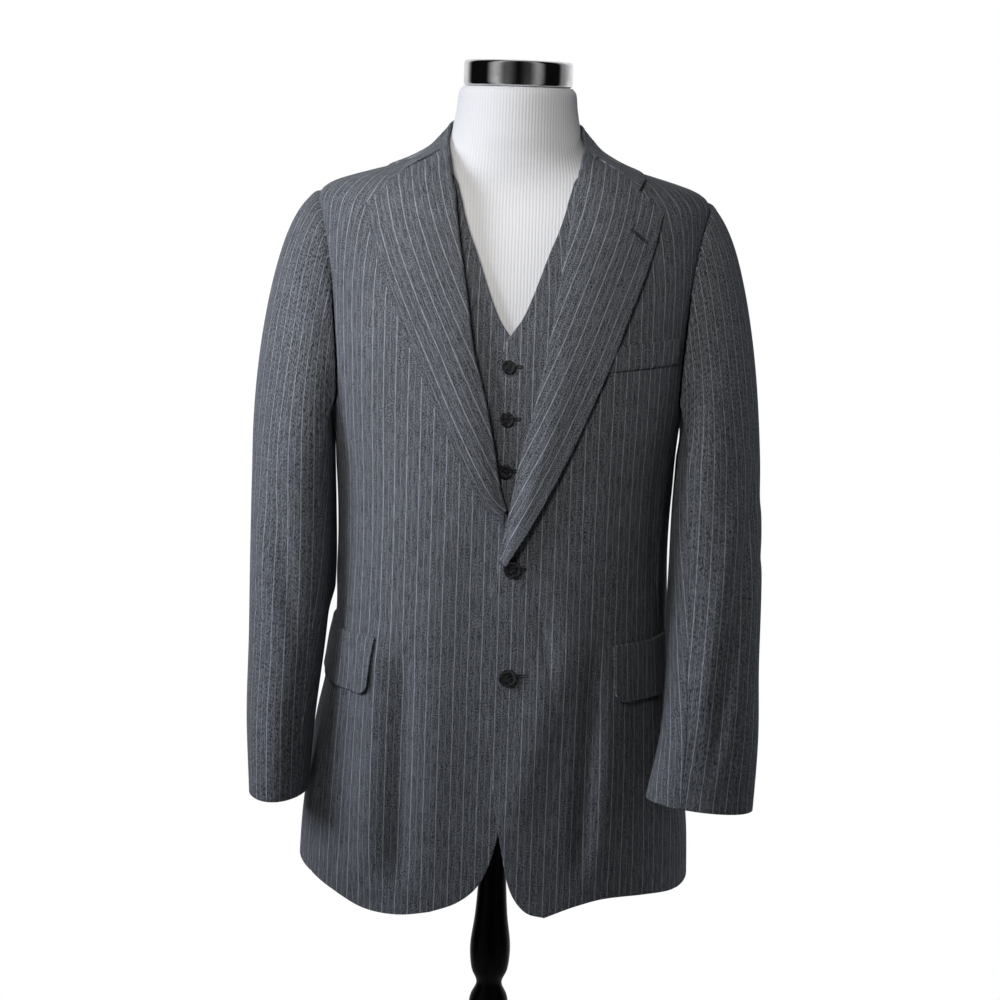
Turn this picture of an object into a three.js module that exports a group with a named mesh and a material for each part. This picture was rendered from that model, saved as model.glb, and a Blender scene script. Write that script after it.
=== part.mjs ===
// Pinstripe blazer and waistcoat on a limbless dress form with a turned tripod stand.
// Millimetres, +Z up. The origin is on the floor under the post. The front faces -Y, and the
// wearer's left is +X. Angles run round the post's axis in degrees: 0 is the centre front, 90 the
// wearer's left side and 180 the centre back. The wearer's right side mirrors the left.

import * as THREE from 'three';

// ---------------------------------------------------------------- driving dimensions

const CLOTH = 2; // thickness of every cloth wall
const MM_PER_DEGREE = 3; // round the body, about its mean radius
const SEAM_GAP = 0.36; // clear distance between two pieces sewn edge to edge
const NECK_SEAM_GAP = 0.9; // clear distance at the collar's curved seam
const LAY_GAP = 0.5; // clear distance between two pieces lying on each other

const TOTAL_HEIGHT = 1560; // floor to the top of the neck cap
const CAP_RADIUS = 57;
const CAP_HEIGHT = 26.5;
const FORM_BOTTOM = 790; // underside of the torso form
const FOOT_RADIUS = 225; // reach of each foot from the post's axis
const LEG_THICKNESS = 26;

const OVERLAP_DEPTH = 3.6; // how far the right front dips to pass under the left front
const WAISTCOAT_DEPTH = -10; // outer face of the waistcoat below the jacket's outer face
const WAISTCOAT_SHOULDER_DEPTH = -3; // the same along its shoulder seams, where the jacket rests on it
const WAISTCOAT_BACK_DROP = 1.1; // how much deeper the waistcoat's back is at its shoulder seams
const WAISTCOAT_OVERLAP = 2.8; // dip of the waistcoat's right front under its left front

const JACKET_BUTTON = { radius: 9.5, height: 3.6 };
const WAISTCOAT_BUTTON = { radius: 7.3, height: 2.6 };
const WAISTCOAT_BUTTON_TOP = 1253;
const WAISTCOAT_BUTTON_PITCH = 53.5;
const WAISTCOAT_BUTTONS = 5;

const FLAP_LENGTH_DEGREES = 52;
const FLAP_CORNER = 14;

// Rows and columns of the faceted panels.
const SKIRT_ROWS = 9; // hem to underarm
const ARM_ROWS = 9; // underarm to shoulder, and each side of an armhole
const NECK_ROWS = 2; // of the arm rows, those along a front's short neckline
const UNDERARM_COLUMNS = 5;
const FRONT_COLUMNS = 10;
const SLEEVE_HEAD_ROWS = 6;
const FORM_COLUMNS = 36;

// ---------------------------------------------------------------- tables

// The jacket's outer surface: half width, depth before and behind the post's axis, and how square
// each level section is (2 is an ellipse).
const JACKET_RINGS = [
  { z: 672, half: 214, front: 140, back: 122, square: 2.3 },
  { z: 760, half: 209, front: 139, back: 118, square: 2.35 },
  { z: 850, half: 194, front: 137, back: 111, square: 2.4 },
  { z: 930, half: 181, front: 135, back: 99, square: 2.4 },
  { z: 1000, half: 174.5, front: 132, back: 90, square: 2.4 },
  { z: 1060, half: 172.5, front: 131, back: 89, square: 2.4 },
  { z: 1130, half: 175.5, front: 130, back: 95, square: 2.4 },
  { z: 1200, half: 184.5, front: 129, back: 103, square: 2.4 },
  { z: 1270, half: 192, front: 126, back: 108, square: 2.35 },
  { z: 1330, half: 197, front: 120, back: 110, square: 2.3 },
  { z: 1380, half: 202, front: 110, back: 109, square: 2.2 },
  { z: 1405, half: 205, front: 102, back: 106, square: 2.1 },
  { z: 1414, half: 205.5, front: 99, back: 104.5, square: 2.05 },
  { z: 1420, half: 203.5, front: 96.5, back: 103, square: 2 },
  { z: 1426, half: 198, front: 94, back: 101.5, square: 2 },
  { z: 1432, half: 187.5, front: 91.5, back: 100, square: 2 },
  { z: 1438, half: 170, front: 89, back: 98, square: 2 },
  { z: 1444, half: 149, front: 86.5, back: 95.5, square: 2 },
  { z: 1449, half: 131, front: 84, back: 93, square: 2 },
  { z: 1454, half: 113, front: 82, back: 90.5, square: 2 },
  { z: 1459, half: 100, front: 80, back: 88, square: 2 },
  { z: 1465, half: 90, front: 78, back: 85.5, square: 2 },
  { z: 1473, half: 82, front: 75, back: 82, square: 2 },
  { z: 1485, half: 75, front: 72, back: 79, square: 2 },
  { z: 1500, half: 70, front: 69, back: 76, square: 2 },
  { z: 1512, half: 68, front: 67.5, back: 74, square: 2 },
];

// The dress form's own surface, from its base plate to the top of its neck.
const FORM_RINGS = [
  { z: FORM_BOTTOM, half: 150, front: 105, back: 97, square: 2.2 },
  { z: 800, half: 156, front: 110, back: 101, square: 2.2 },
  { z: 840, half: 158, front: 113, back: 99, square: 2.25 },
  { z: 900, half: 156, front: 112, back: 88, square: 2.3 },
  { z: 1000, half: 149, front: 109, back: 74, square: 2.3 },
  { z: 1060, half: 149, front: 109, back: 72, square: 2.3 },
  { z: 1130, half: 154, front: 110, back: 78, square: 2.3 },
  { z: 1200, half: 162, front: 110, back: 86, square: 2.3 },
  { z: 1270, half: 170, front: 107, back: 91, square: 2.3 },
  { z: 1330, half: 176, front: 101, back: 92, square: 2.25 },
  { z: 1375, half: 181, front: 91, back: 91, square: 2.15 },
  { z: 1396, half: 182, front: 83.5, back: 86, square: 2.1 },
  { z: 1410, half: 181, front: 77.6, back: 82.5, square: 2 },
  { z: 1421, half: 174, front: 73.2, back: 79, square: 2 },
  { z: 1431, half: 160, front: 69.7, back: 76, square: 2 },
  { z: 1438, half: 143.6, front: 68.2, back: 74, square: 2 },
  { z: 1443, half: 126.6, front: 67.7, back: 73, square: 2 },
  { z: 1448, half: 109.6, front: 67.2, back: 71.5, square: 2 },
  { z: 1453.5, half: 95.1, front: 66.6, back: 69.5, square: 2 },
  { z: 1460, half: 84.1, front: 66, back: 68, square: 2 },
  { z: 1469, half: 75.5, front: 65.2, back: 66.5, square: 2 },
  { z: 1482, half: 69, front: 65.5, back: 66.5, square: 2 },
  { z: 1495, half: 66, front: 64.2, back: 65, square: 2 },
  { z: 1512, half: 63, front: 63, back: 63, square: 2 },
  { z: 1528, half: 61, front: 61, back: 61, square: 2 },
  { z: 1533, half: 57, front: 57, back: 57, square: 2 },
];

// Hem lines of the two sides.
const LEFT_HEM = [
  { angle: 22, z: 678 },
  { angle: 34, z: 690 },
  { angle: 44, z: 696 },
  { angle: 58, z: 695 },
  { angle: 73, z: 691 },
  { angle: 95, z: 696 },
  { angle: 130, z: 703 },
  { angle: 180, z: 704 },
];
const RIGHT_HEM = [
  { angle: 25, z: 680 },
  { angle: 38, z: 673.5 },
  { angle: 50, z: 675.5 },
  { angle: 62, z: 689 },
  { angle: 73, z: 699 },
  { angle: 95, z: 705 },
  { angle: 130, z: 705 },
  { angle: 180, z: 704 },
];

// Front edges seen from the front, from the rounded lower corner up to the waist button.
const LEFT_FRONT_EDGE = [
  { x: 54.6, z: 678 },
  { x: 36, z: 683.3 },
  { x: 20, z: 703.4 },
  { x: 8.4, z: 749.4 },
  { x: -7, z: 850 },
  { x: -15.5, z: 950 },
  { x: -14, z: 1005 },
  { x: -4, z: 1045 },
];
const RIGHT_FRONT_EDGE = [
  { x: 65, z: 680 },
  { x: 36, z: 691.6 },
  { x: 15.4, z: 710.5 },
  { x: -1, z: 753 },
  { x: -11, z: 840 },
  { x: -18, z: 950 },
  { x: -17, z: 1020 },
  { x: -4.5, z: 1098 },
];

// Roll lines of the two lapels, from the break up to the collar, as distances from the centre.
const LEFT_ROLL = [
  { x: -4, z: 1045 },
  { x: 4.7, z: 1089 },
  { x: 18, z: 1163 },
  { x: 31.6, z: 1219 },
  { x: 42.4, z: 1277 },
  { x: 51, z: 1335 },
  { x: 59, z: 1390 },
  { x: 65, z: 1436 },
];
const RIGHT_ROLL = [
  { x: -4.5, z: 1098 },
  { x: 5, z: 1119 },
  { x: 14.4, z: 1166 },
  { x: 25, z: 1217 },
  { x: 38.7, z: 1268 },
  { x: 47, z: 1322 },
  { x: 57, z: 1380 },
  { x: 65, z: 1436 },
];

// Outer edges of the lapels, from the break up to the lapel's corner.
const LEFT_LAPEL_EDGE = [
  { x: 3, z: 1052 },
  { x: 22.5, z: 1085 },
  { x: 62, z: 1164 },
  { x: 99, z: 1251 },
  { x: 121, z: 1313 },
  { x: 150.7, z: 1407.5 },
];
const RIGHT_LAPEL_EDGE = [
  { x: 1, z: 1093 },
  { x: 22, z: 1112 },
  { x: 60, z: 1183 },
  { x: 92.8, z: 1254 },
  { x: 120, z: 1316 },
  { x: 151.5, z: 1409 },
];
const NOTCH = { x: 122, z: 1429.5 };
const GORGE_TOP = { angle: 59, z: 1470 };

// The collar's lines from the centre back (t 0) to the notch (t 1): its seam to the neck, its fold,
// a line just inside its edge, and its free edge.
const COLLAR = {
  seam: [
    { t: 0, angle: 180, z: 1471 },
    { t: 0.25, angle: 136, z: 1470 },
    { t: 0.5, angle: 90, z: 1468 },
    { t: 0.78, angle: 72, z: 1468 },
    { t: 1, angle: 60, z: 1468.5 },
  ],
  fold: [
    { t: 0, angle: 180, z: 1507 },
    { t: 0.25, angle: 136, z: 1504 },
    { t: 0.5, angle: 92, z: 1498 },
    { t: 0.78, angle: 74, z: 1484 },
    { t: 1, angle: 59, z: 1471.5 },
  ],
  body: [
    { t: 0, angle: 180, z: 1463 },
    { t: 0.25, angle: 137, z: 1461 },
    { t: 0.5, angle: 91, z: 1458.5 },
    { t: 0.78, angle: 70, z: 1446 },
    { t: 1, angle: 61, z: 1430.6 },
  ],
  edge: [
    { t: 0, angle: 180, z: 1458 },
    { t: 0.25, angle: 137, z: 1455 },
    { t: 0.5, angle: 90, z: 1455 },
    { t: 0.78, angle: 75, z: 1445.5 },
    { t: 1, angle: 66.5, z: 1436 },
  ],
};

// Section of the collar from its seam, over the fold, to its edge: the share of the way from one
// line to the next, the height of the covered and the uncovered face above the jacket, and how far
// the uncovered face rises over the fold.
const COLLAR_SECTION = [
  { from: 'seam', to: 'fold', share: 0, covered: 0, uncovered: -CLOTH, rise: 0 },
  { from: 'seam', to: 'fold', share: 0.5, covered: 0, uncovered: -CLOTH, rise: 0 },
  { from: 'seam', to: 'fold', share: 0.93, covered: 0, uncovered: -CLOTH, rise: 0 },
  { from: 'seam', to: 'fold', share: 1, covered: 0.5, uncovered: 0.5, rise: 2.4 },
  { from: 'fold', to: 'body', share: 0.06, covered: 1, uncovered: 3, rise: 0 },
  { from: 'fold', to: 'body', share: 0.35, covered: 4.2, uncovered: 6.2, rise: 0 },
  { from: 'fold', to: 'body', share: 0.7, covered: 3.6, uncovered: 5.6, rise: 0 },
  { from: 'body', to: 'edge', share: 0, covered: 2.8, uncovered: 2.8 + CLOTH, rise: 0 },
  { from: 'body', to: 'edge', share: 1, covered: 2, uncovered: 2 + CLOTH, rise: 0 },
];

// Half of each armhole, from the seam corner under the arm up to the shoulder end.
const ARMHOLE_FRONT = [
  { angle: 75, z: 1211 },
  { angle: 73.8, z: 1250 },
  { angle: 74.6, z: 1287 },
  { angle: 76.3, z: 1325 },
  { angle: 79, z: 1361 },
  { angle: 83.2, z: 1394 },
  { angle: 90, z: 1421 },
];
const ARMHOLE_BACK = [
  { angle: 108, z: 1218 },
  { angle: 109, z: 1262 },
  { angle: 107.5, z: 1310 },
  { angle: 104, z: 1352 },
  { angle: 98, z: 1392 },
  { angle: 90, z: 1421 },
];
const ARMHOLE_UNDER = [
  { angle: 75, z: 1211 },
  { angle: 82, z: 1198 },
  { angle: 91, z: 1194 },
  { angle: 100, z: 1199 },
  { angle: 108, z: 1218 },
];

// Level sections of each sleeve: centre, half width across the arm and from front to back, and how
// far the section is turned with its front towards the body.
const LEFT_SLEEVE = [
  { z: 1150, x: 226.5, y: -20, across: 41, along: 66, turn: 22 },
  { z: 1090, x: 226.5, y: -30, across: 44, along: 62, turn: 26 },
  { z: 1020, x: 227, y: -44, across: 45, along: 57, turn: 35 },
  { z: 950, x: 225.5, y: -64, across: 44, along: 54, turn: 50 },
  { z: 870, x: 223, y: -91, across: 39, along: 54, turn: 70 },
  { z: 802, x: 213, y: -117, across: 33, along: 56, turn: 88 },
];
const RIGHT_SLEEVE = [
  { z: 1150, x: 227, y: -16, across: 41.5, along: 66, turn: 18 },
  { z: 1090, x: 226.5, y: -20, across: 43, along: 61, turn: 14 },
  { z: 1020, x: 226, y: -28, across: 43.5, along: 58, turn: 8 },
  { z: 950, x: 227.5, y: -38, across: 41, along: 57, turn: 2 },
  { z: 870, x: 231, y: -52, across: 36.5, along: 56.5, turn: -2 },
  { z: 790, x: 231, y: -66, across: 31, along: 57, turn: -4 },
];
// The levels of each sleeve's rows, its cuff's rise for each millimetre away from the body, and how
// steeply its head leaves the shoulder.
const LEFT_SLEEVE_CUT = {
  table: LEFT_SLEEVE,
  levels: [1105, 1060, 1010, 960, 905, 850, 802],
  slant: -0.1,
  drop: 0.55,
};
const RIGHT_SLEEVE_CUT = {
  table: RIGHT_SLEEVE,
  levels: [1105, 1060, 1010, 955, 900, 845, 790],
  slant: 0,
  drop: 0.3,
};
const FRONT_SEAM_ANGLE = 71;
const BACK_SEAM_ANGLE = 112;
const ARMHOLE_CENTRE = { angle: 90, z: 1300 };
const SEAM_ALPHA = { front: 125, back: 235 }; // sleeve seams round the arm, from its outer side

// Pocket pieces, given as distances from the centre on the front they lie on. A flap's slant is in
// degrees from its top to its lower edge.
const LEFT_FLAP = { x: 117, top: 966, height: 60, slant: -0.4 };
const RIGHT_FLAP = { x: 128.5, top: 964, height: 60, slant: 0 };
const BREAST_WELT = {
  bottom: [{ x: 97, z: 1250 }, { x: 174, z: 1257 }],
  top: [{ x: 99, z: 1275.5 }, { x: 174, z: 1282.5 }],
};

// Waistcoat front edges and neckline, from the lower corner up to the neck point.
const WAISTCOAT_EDGE = [
  { x: -4, z: 936 },
  { x: -9, z: 960 },
  { x: -9, z: 1100 },
  { x: -9, z: 1250 },
];
const WAISTCOAT_NECK = [
  { x: -9, z: 1250 },
  { x: -3.5, z: 1277 },
  { x: 13, z: 1303 },
  { x: 36.8, z: 1365.5 },
  { x: 57, z: 1425.7 },
  { x: 67.5, z: 1450 },
];
const WAISTCOAT_NECK_POINT = { angle: 90, z: 1463 };
const WAISTCOAT_SHOULDER_END = { angle: 90, z: 1443 };
const WAISTCOAT_HEM = [
  { x: -4, z: 936 },
  { x: 45, z: 905 },
  { x: 110, z: 932 },
];
const WAISTCOAT_SIDE = { angle: 90, bottom: 950, top: 1165 };
const WAISTCOAT_ARMHOLE_FRONT = [
  { angle: 80, z: 1180 },
  { angle: 66, z: 1240 },
  { angle: 62, z: 1320 },
  { angle: 66, z: 1400 },
];
const WAISTCOAT_ARMHOLE_BACK = [
  { angle: 100, z: 1180 },
  { angle: 113, z: 1240 },
  { angle: 117, z: 1320 },
  { angle: 115.5, z: 1395 },
  { angle: 109, z: 1432 },
];
const WAISTCOAT_BACK_HEM = 952;
const WAISTCOAT_BACK_NECK = 1461;

// Turned post, from its foot in the hub to its top under the form.
const POST_PROFILE = [
  { radius: 17, z: 250 },
  { radius: 21, z: 262 },
  { radius: 21, z: 300 },
  { radius: 16, z: 330 },
  { radius: 15, z: 400 },
  { radius: 23, z: 480 },
  { radius: 21, z: 535 },
  { radius: 14, z: 553 },
  { radius: 20, z: 569 },
  { radius: 22.3, z: 595 },
  { radius: 18, z: 631 },
  { radius: 15.5, z: 670 },
  { radius: 14.5, z: 710 },
  { radius: 15, z: FORM_BOTTOM - 12 },
  { radius: 30, z: FORM_BOTTOM - 8 },
  { radius: 30, z: FORM_BOTTOM - 0.3 },
];
const HUB_RADIUS = 39;
const HUB_PROFILE = [
  { radius: 20, z: 128 },
  { radius: 34, z: 138 },
  { radius: HUB_RADIUS, z: 146 },
  { radius: HUB_RADIUS, z: 228 },
  { radius: 34, z: 238 },
  { radius: 26, z: 249.7 },
];
const LEG_ROOT = HUB_RADIUS + 0.3; // where each leg meets the hub
const CAP_PROFILE = [
  { radius: CAP_RADIUS - 3, z: 0 },
  { radius: CAP_RADIUS - 1, z: 0.6 },
  { radius: CAP_RADIUS, z: 3 },
  { radius: CAP_RADIUS, z: CAP_HEIGHT - 4 },
  { radius: CAP_RADIUS - 1.2, z: CAP_HEIGHT - 1 },
  { radius: CAP_RADIUS - 4, z: CAP_HEIGHT },
];

const MATERIALS = {
  cloth: { color: 0x3f4348, roughness: 0.9, metalness: 0 },
  cover: { color: 0xe6e6e6, roughness: 0.85, metalness: 0 },
  chrome: { color: 0xcfd2d6, roughness: 0.12, metalness: 1 },
  wood: { color: 0x1c1513, roughness: 0.45, metalness: 0 },
  button: { color: 0x24262a, roughness: 0.35, metalness: 0 },
};

// ---------------------------------------------------------------- small helpers

const radians = THREE.MathUtils.degToRad;
const lerp = THREE.MathUtils.lerp;
const smoothstep = THREE.MathUtils.smoothstep;

/** Smooth value of one column of a table at a key between its rows. */
function column(table, key, name, at) {
  const last = table.length - 1;
  const rising = table[last][key] > table[0][key];
  const before = (row) => (rising ? row[key] <= at : row[key] >= at);
  let k = 0;
  while (k < last - 1 && before(table[k + 1])) k += 1;
  const slope = (i) => {
    const low = table[Math.max(i - 1, 0)];
    const high = table[Math.min(i + 1, last)];
    return (high[name] - low[name]) / (high[key] - low[key]);
  };
  const span = table[k + 1][key] - table[k][key];
  const t = THREE.MathUtils.clamp((at - table[k][key]) / span, 0, 1);
  const t2 = t * t;
  const t3 = t2 * t;
  return (2 * t3 - 3 * t2 + 1) * table[k][name] + (t3 - 2 * t2 + t) * span * slope(k)
    + (3 * t2 - 2 * t3) * table[k + 1][name] + (t3 - t2) * span * slope(k + 1);
}

/** Distances along the jacket's side from its hem, which are longer than heights on the shoulder. */
const SIDE_RUN = [{ z: JACKET_RINGS[0].z, run: JACKET_RINGS[0].z }];
for (let z = JACKET_RINGS[0].z + 2; z <= JACKET_RINGS[JACKET_RINGS.length - 1].z; z += 2) {
  const spread = column(JACKET_RINGS, 'z', 'half', z) - column(JACKET_RINGS, 'z', 'half', z - 2);
  SIDE_RUN.push({ z, run: SIDE_RUN[SIDE_RUN.length - 1].run + Math.hypot(2, spread) });
}
const runAt = (z) => column(SIDE_RUN, 'z', 'run', z);
const heightAt = (run) => column(SIDE_RUN, 'run', 'z', run);

/** Smooth curve through rows of angle and z, sampled evenly along its length. */
function domainCurve(rows) {
  const points = rows.map((row) => new THREE.Vector3(row.angle * MM_PER_DEGREE, runAt(row.z), 0));
  const curve = new THREE.CatmullRomCurve3(points, false, 'centripetal');
  return (t) => {
    const point = curve.getPointAt(THREE.MathUtils.clamp(t, 0, 1));
    return { angle: point.x / MM_PER_DEGREE, z: heightAt(point.y) };
  };
}

/** Two curves one after the other, the first up to the given share. */
function join(first, second, share) {
  return (t) => (t < share ? first(t / share) : second((t - share) / (1 - share)));
}

// ---------------------------------------------------------------- the jacket's surface

/** Point of a level section in the direction of an angle. */
function ringPoint(rings, angle, z) {
  const square = column(rings, 'z', 'square', z);
  const side = Math.sin(radians(angle));
  const ahead = Math.cos(radians(angle));
  const depth = column(rings, 'z', ahead > 0 ? 'front' : 'back', z);
  const half = column(rings, 'z', 'half', z);
  const inverse = Math.abs(side / half) ** square + Math.abs(ahead / depth) ** square;
  const reach = inverse ** (-1 / square);
  return new THREE.Vector3(reach * side, -reach * ahead, z);
}

/** Outward direction of the jacket's surface. */
function skinNormal(angle, z) {
  const step = 0.4;
  const across = ringPoint(JACKET_RINGS, angle + step, z).sub(ringPoint(JACKET_RINGS, angle - step, z));
  const up = ringPoint(JACKET_RINGS, angle, z + step).sub(ringPoint(JACKET_RINGS, angle, z - step));
  return across.cross(up).normalize();
}

/** Point at a height above the jacket's surface, or below it when negative. */
function skin(angle, z, height) {
  return ringPoint(JACKET_RINGS, angle, z).addScaledVector(skinNormal(angle, z), height);
}

/** Angle of the front's point that lies a distance from the centre, seen from the front. */
function angleAt({ x, z }) {
  const half = column(JACKET_RINGS, 'z', 'half', z);
  const square = column(JACKET_RINGS, 'z', 'square', z);
  const depth = column(JACKET_RINGS, 'z', 'front', z);
  const y = depth * (1 - Math.min(Math.abs(x) / half, 1) ** square) ** (1 / square);
  return THREE.MathUtils.radToDeg(Math.atan2(x, y));
}

const onFront = (row) => ({ angle: angleAt(row), z: row.z });

// ---------------------------------------------------------------- closed solids

/** Mesh geometry from corner points and triangles, turned so that its faces point out. */
function solid(points, triangles) {
  let volume = 0;
  for (const [a, b, c] of triangles) {
    volume += points[a].dot(new THREE.Vector3().crossVectors(points[b], points[c]));
  }
  const facing = volume > 0 ? triangles : triangles.map(([a, b, c]) => [a, c, b]);
  const geometry = new THREE.BufferGeometry();
  const numbers = points.flatMap((point) => point.toArray());
  geometry.setAttribute('position', new THREE.Float32BufferAttribute(numbers, 3));
  geometry.setIndex(facing.flat());
  geometry.computeVertexNormals();
  return geometry;
}

/** Wall between two matching grids of points. */
function wall(outer, inner) {
  const rows = outer.length;
  const columns = outer[0].length;
  const points = [...outer.flat(), ...inner.flat()];
  const at = (face, i, j) => face * rows * columns + i * columns + j;
  const triangles = [];
  const quad = (a, b, c, d) => triangles.push([a, b, c], [a, c, d]);
  for (let i = 0; i < rows - 1; i += 1) {
    for (let j = 0; j < columns - 1; j += 1) {
      quad(at(0, i, j), at(0, i, j + 1), at(0, i + 1, j + 1), at(0, i + 1, j));
      quad(at(1, i, j), at(1, i + 1, j), at(1, i + 1, j + 1), at(1, i, j + 1));
    }
  }
  for (let j = 0; j < columns - 1; j += 1) {
    quad(at(1, 0, j), at(1, 0, j + 1), at(0, 0, j + 1), at(0, 0, j));
    quad(at(0, rows - 1, j), at(0, rows - 1, j + 1), at(1, rows - 1, j + 1), at(1, rows - 1, j));
  }
  for (let i = 0; i < rows - 1; i += 1) {
    quad(at(0, i, 0), at(0, i + 1, 0), at(1, i + 1, 0), at(1, i, 0));
    const end = columns - 1;
    quad(at(1, i, end), at(1, i + 1, end), at(0, i + 1, end), at(0, i, end));
  }
  return solid(points, triangles);
}

/** Solid body through closed rings of points, flat at both ends. */
function stack(rings) {
  const count = rings[0].length;
  const points = rings.flat();
  const triangles = [];
  for (let i = 0; i < rings.length - 1; i += 1) {
    for (let j = 0; j < count; j += 1) {
      const next = (j + 1) % count;
      const [a, b] = [i * count + j, i * count + next];
      triangles.push([a, b, b + count], [a, b + count, a + count]);
    }
  }
  for (const [ring, flip] of [[0, true], [rings.length - 1, false]]) {
    const centre = points.length;
    const middle = new THREE.Vector3();
    rings[ring].forEach((point) => middle.addScaledVector(point, 1 / count));
    points.push(middle);
    for (let j = 0; j < count; j += 1) {
      const [a, b] = [ring * count + j, ring * count + ((j + 1) % count)];
      triangles.push(flip ? [centre, b, a] : [centre, a, b]);
    }
  }
  return solid(points, triangles);
}

/** Moves the border points of a grid towards its middle, to leave half a seam gap. */
function insetBorder(grid, distance) {
  const rows = grid.length;
  const columns = grid[0].length;
  const pulled = grid.map((row) => row.map((point) => point.clone()));
  const pull = (i, j, toI, toJ) => {
    const away = grid[toI][toJ].clone().sub(grid[i][j]).setLength(distance);
    pulled[i][j].add(away);
  };
  for (let j = 0; j < columns; j += 1) {
    pull(0, j, 1, j);
    pull(rows - 1, j, rows - 2, j);
  }
  for (let i = 0; i < rows; i += 1) {
    pull(i, 0, i, 1);
    pull(i, columns - 1, i, columns - 2);
  }
  return pulled;
}

/** Point of the patch inside four border curves, at shares u across and v up. */
function patchPoint({ bottom, top, inner, outer }, u, v) {
  const blend = (value) => {
    const ruled = lerp(value(inner(v)), value(outer(v)), u) + lerp(value(bottom(u)), value(top(u)), v);
    const corners = lerp(
      lerp(value(bottom(0)), value(bottom(1)), u),
      lerp(value(top(0)), value(top(1)), u),
      v,
    );
    return ruled - corners;
  };
  return { angle: blend((point) => point.angle), z: heightAt(blend((point) => runAt(point.z))) };
}

/** Cloth panel on the jacket's surface; height gives its outer face and may vary over it. */
function panel(borders, columns, rows, { side = 1, height = () => 0 }) {
  const face = (below) => insetBorder(rows.map((v) => columns.map((u) => {
    const { angle, z } = patchPoint(borders, u, v);
    const point = skin(angle, z, height(u, v, angle, z) - below);
    point.x *= side;
    return point;
  })), SEAM_GAP / 2);
  return wall(face(0), face(CLOTH));
}

/** Shares from 0 to 1 in equal steps. */
const evenly = (count) => Array.from({ length: count + 1 }, (_, k) => k / count);

// ---------------------------------------------------------------- scene

const object = new THREE.Group();
object.name = 'blazer_and_waistcoat_on_dress_form';

function add(name, geometry, finish) {
  const mesh = new THREE.Mesh(geometry, new THREE.MeshStandardMaterial(MATERIALS[finish]));
  mesh.name = name;
  object.add(mesh);
  return mesh;
}

// ---------------------------------------------------------------- jacket body

const hemPoint = (table, angle) => ({ angle, z: column(table, 'angle', 'z', angle) });
const hem = (table, from, to) => (t) => hemPoint(table, lerp(from, to, t));
const frontSeam = (table) => domainCurve([
  hemPoint(table, FRONT_SEAM_ANGLE),
  { angle: FRONT_SEAM_ANGLE - 1, z: 850 },
  { angle: FRONT_SEAM_ANGLE, z: 1000 },
  { angle: FRONT_SEAM_ANGLE + 1, z: 1120 },
  ARMHOLE_FRONT[0],
]);
const backSeam = (table) => domainCurve([
  hemPoint(table, BACK_SEAM_ANGLE),
  { angle: BACK_SEAM_ANGLE, z: 850 },
  { angle: BACK_SEAM_ANGLE + 1, z: 1000 },
  { angle: BACK_SEAM_ANGLE, z: 1120 },
  ARMHOLE_BACK[0],
]);
const armholeFront = domainCurve(ARMHOLE_FRONT);
const armholeBack = domainCurve(ARMHOLE_BACK);
const armholeUnder = domainCurve(ARMHOLE_UNDER);
const centreBack = (table) => domainCurve([hemPoint(table, 180), { angle: 180, z: 1200 }]);
const centreBackTop = domainCurve([
  { angle: 180, z: 1200 },
  COLLAR.seam[0],
]);

/** Line from one corner to another along a side seam or shoulder seam, even in real length. */
function seamLine(from, to) {
  const steps = 24;
  const lengths = [0];
  const between = (share) => ({
    angle: lerp(from.angle, to.angle, share),
    z: lerp(from.z, to.z, share),
  });
  const onSkin = ({ angle, z }) => skin(angle, z, 0);
  for (let i = 1; i <= steps; i += 1) {
    const step = onSkin(between(i / steps)).distanceTo(onSkin(between((i - 1) / steps)));
    lengths.push(lengths[i - 1] + step);
  }
  return (t) => {
    const target = t * lengths[steps];
    let k = 0;
    while (k < steps - 1 && lengths[k + 1] < target) k += 1;
    const share = (target - lengths[k]) / (lengths[k + 1] - lengths[k]);
    return between((k + share) / steps);
  };
}

const neckPoint = COLLAR.seam[2];
const shoulderEnd = ARMHOLE_FRONT[ARMHOLE_FRONT.length - 1];
const shoulderSeam = seamLine(neckPoint, shoulderEnd);

/** Point of one of the collar's lines; t is 0 at the centre back. */
function collarLine(name, t) {
  const rows = COLLAR[name];
  return { angle: column(rows, 't', 'angle', t), z: column(rows, 't', 'z', t) };
}

/** Point of the seam between the jacket and its collar. */
const neckline = (t) => collarLine('seam', t);

const rowShare = SKIRT_ROWS / (SKIRT_ROWS + ARM_ROWS);
// The rows stand closer together towards the shoulder.
const armShares = evenly(ARM_ROWS).map((t) => 1 - (1 - t) ** 1.4);
const neckShare = armShares[ARM_ROWS - NECK_ROWS];
const bodyRows = [
  ...evenly(SKIRT_ROWS).map((t) => t * rowShare),
  ...armShares.slice(1).map((t) => lerp(rowShare, 1, t)),
];

/** How far a point of the right front dips to pass under the left front. */
function rightDip(angle, z) {
  const x = ringPoint(JACKET_RINGS, angle, z).x;
  return -OVERLAP_DEPTH * smoothstep(75 - x, 0, 55) * smoothstep(1160 - z, 0, 70);
}

function jacketFront(name, side, table, edge, roll, height) {
  const corner = onFront(edge[0]);
  const borders = {
    bottom: hem(table, corner.angle, FRONT_SEAM_ANGLE),
    outer: join(frontSeam(table), armholeFront, rowShare),
    inner: join(
      domainCurve(edge.map(onFront)),
      join(domainCurve([...roll.map(onFront), neckline(1)]), (t) => neckline(1 - t / 2), neckShare),
      rowShare,
    ),
    top: shoulderSeam,
  };
  add(name, panel(borders, evenly(FRONT_COLUMNS), bodyRows, { side, height }), 'cloth');
}

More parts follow.
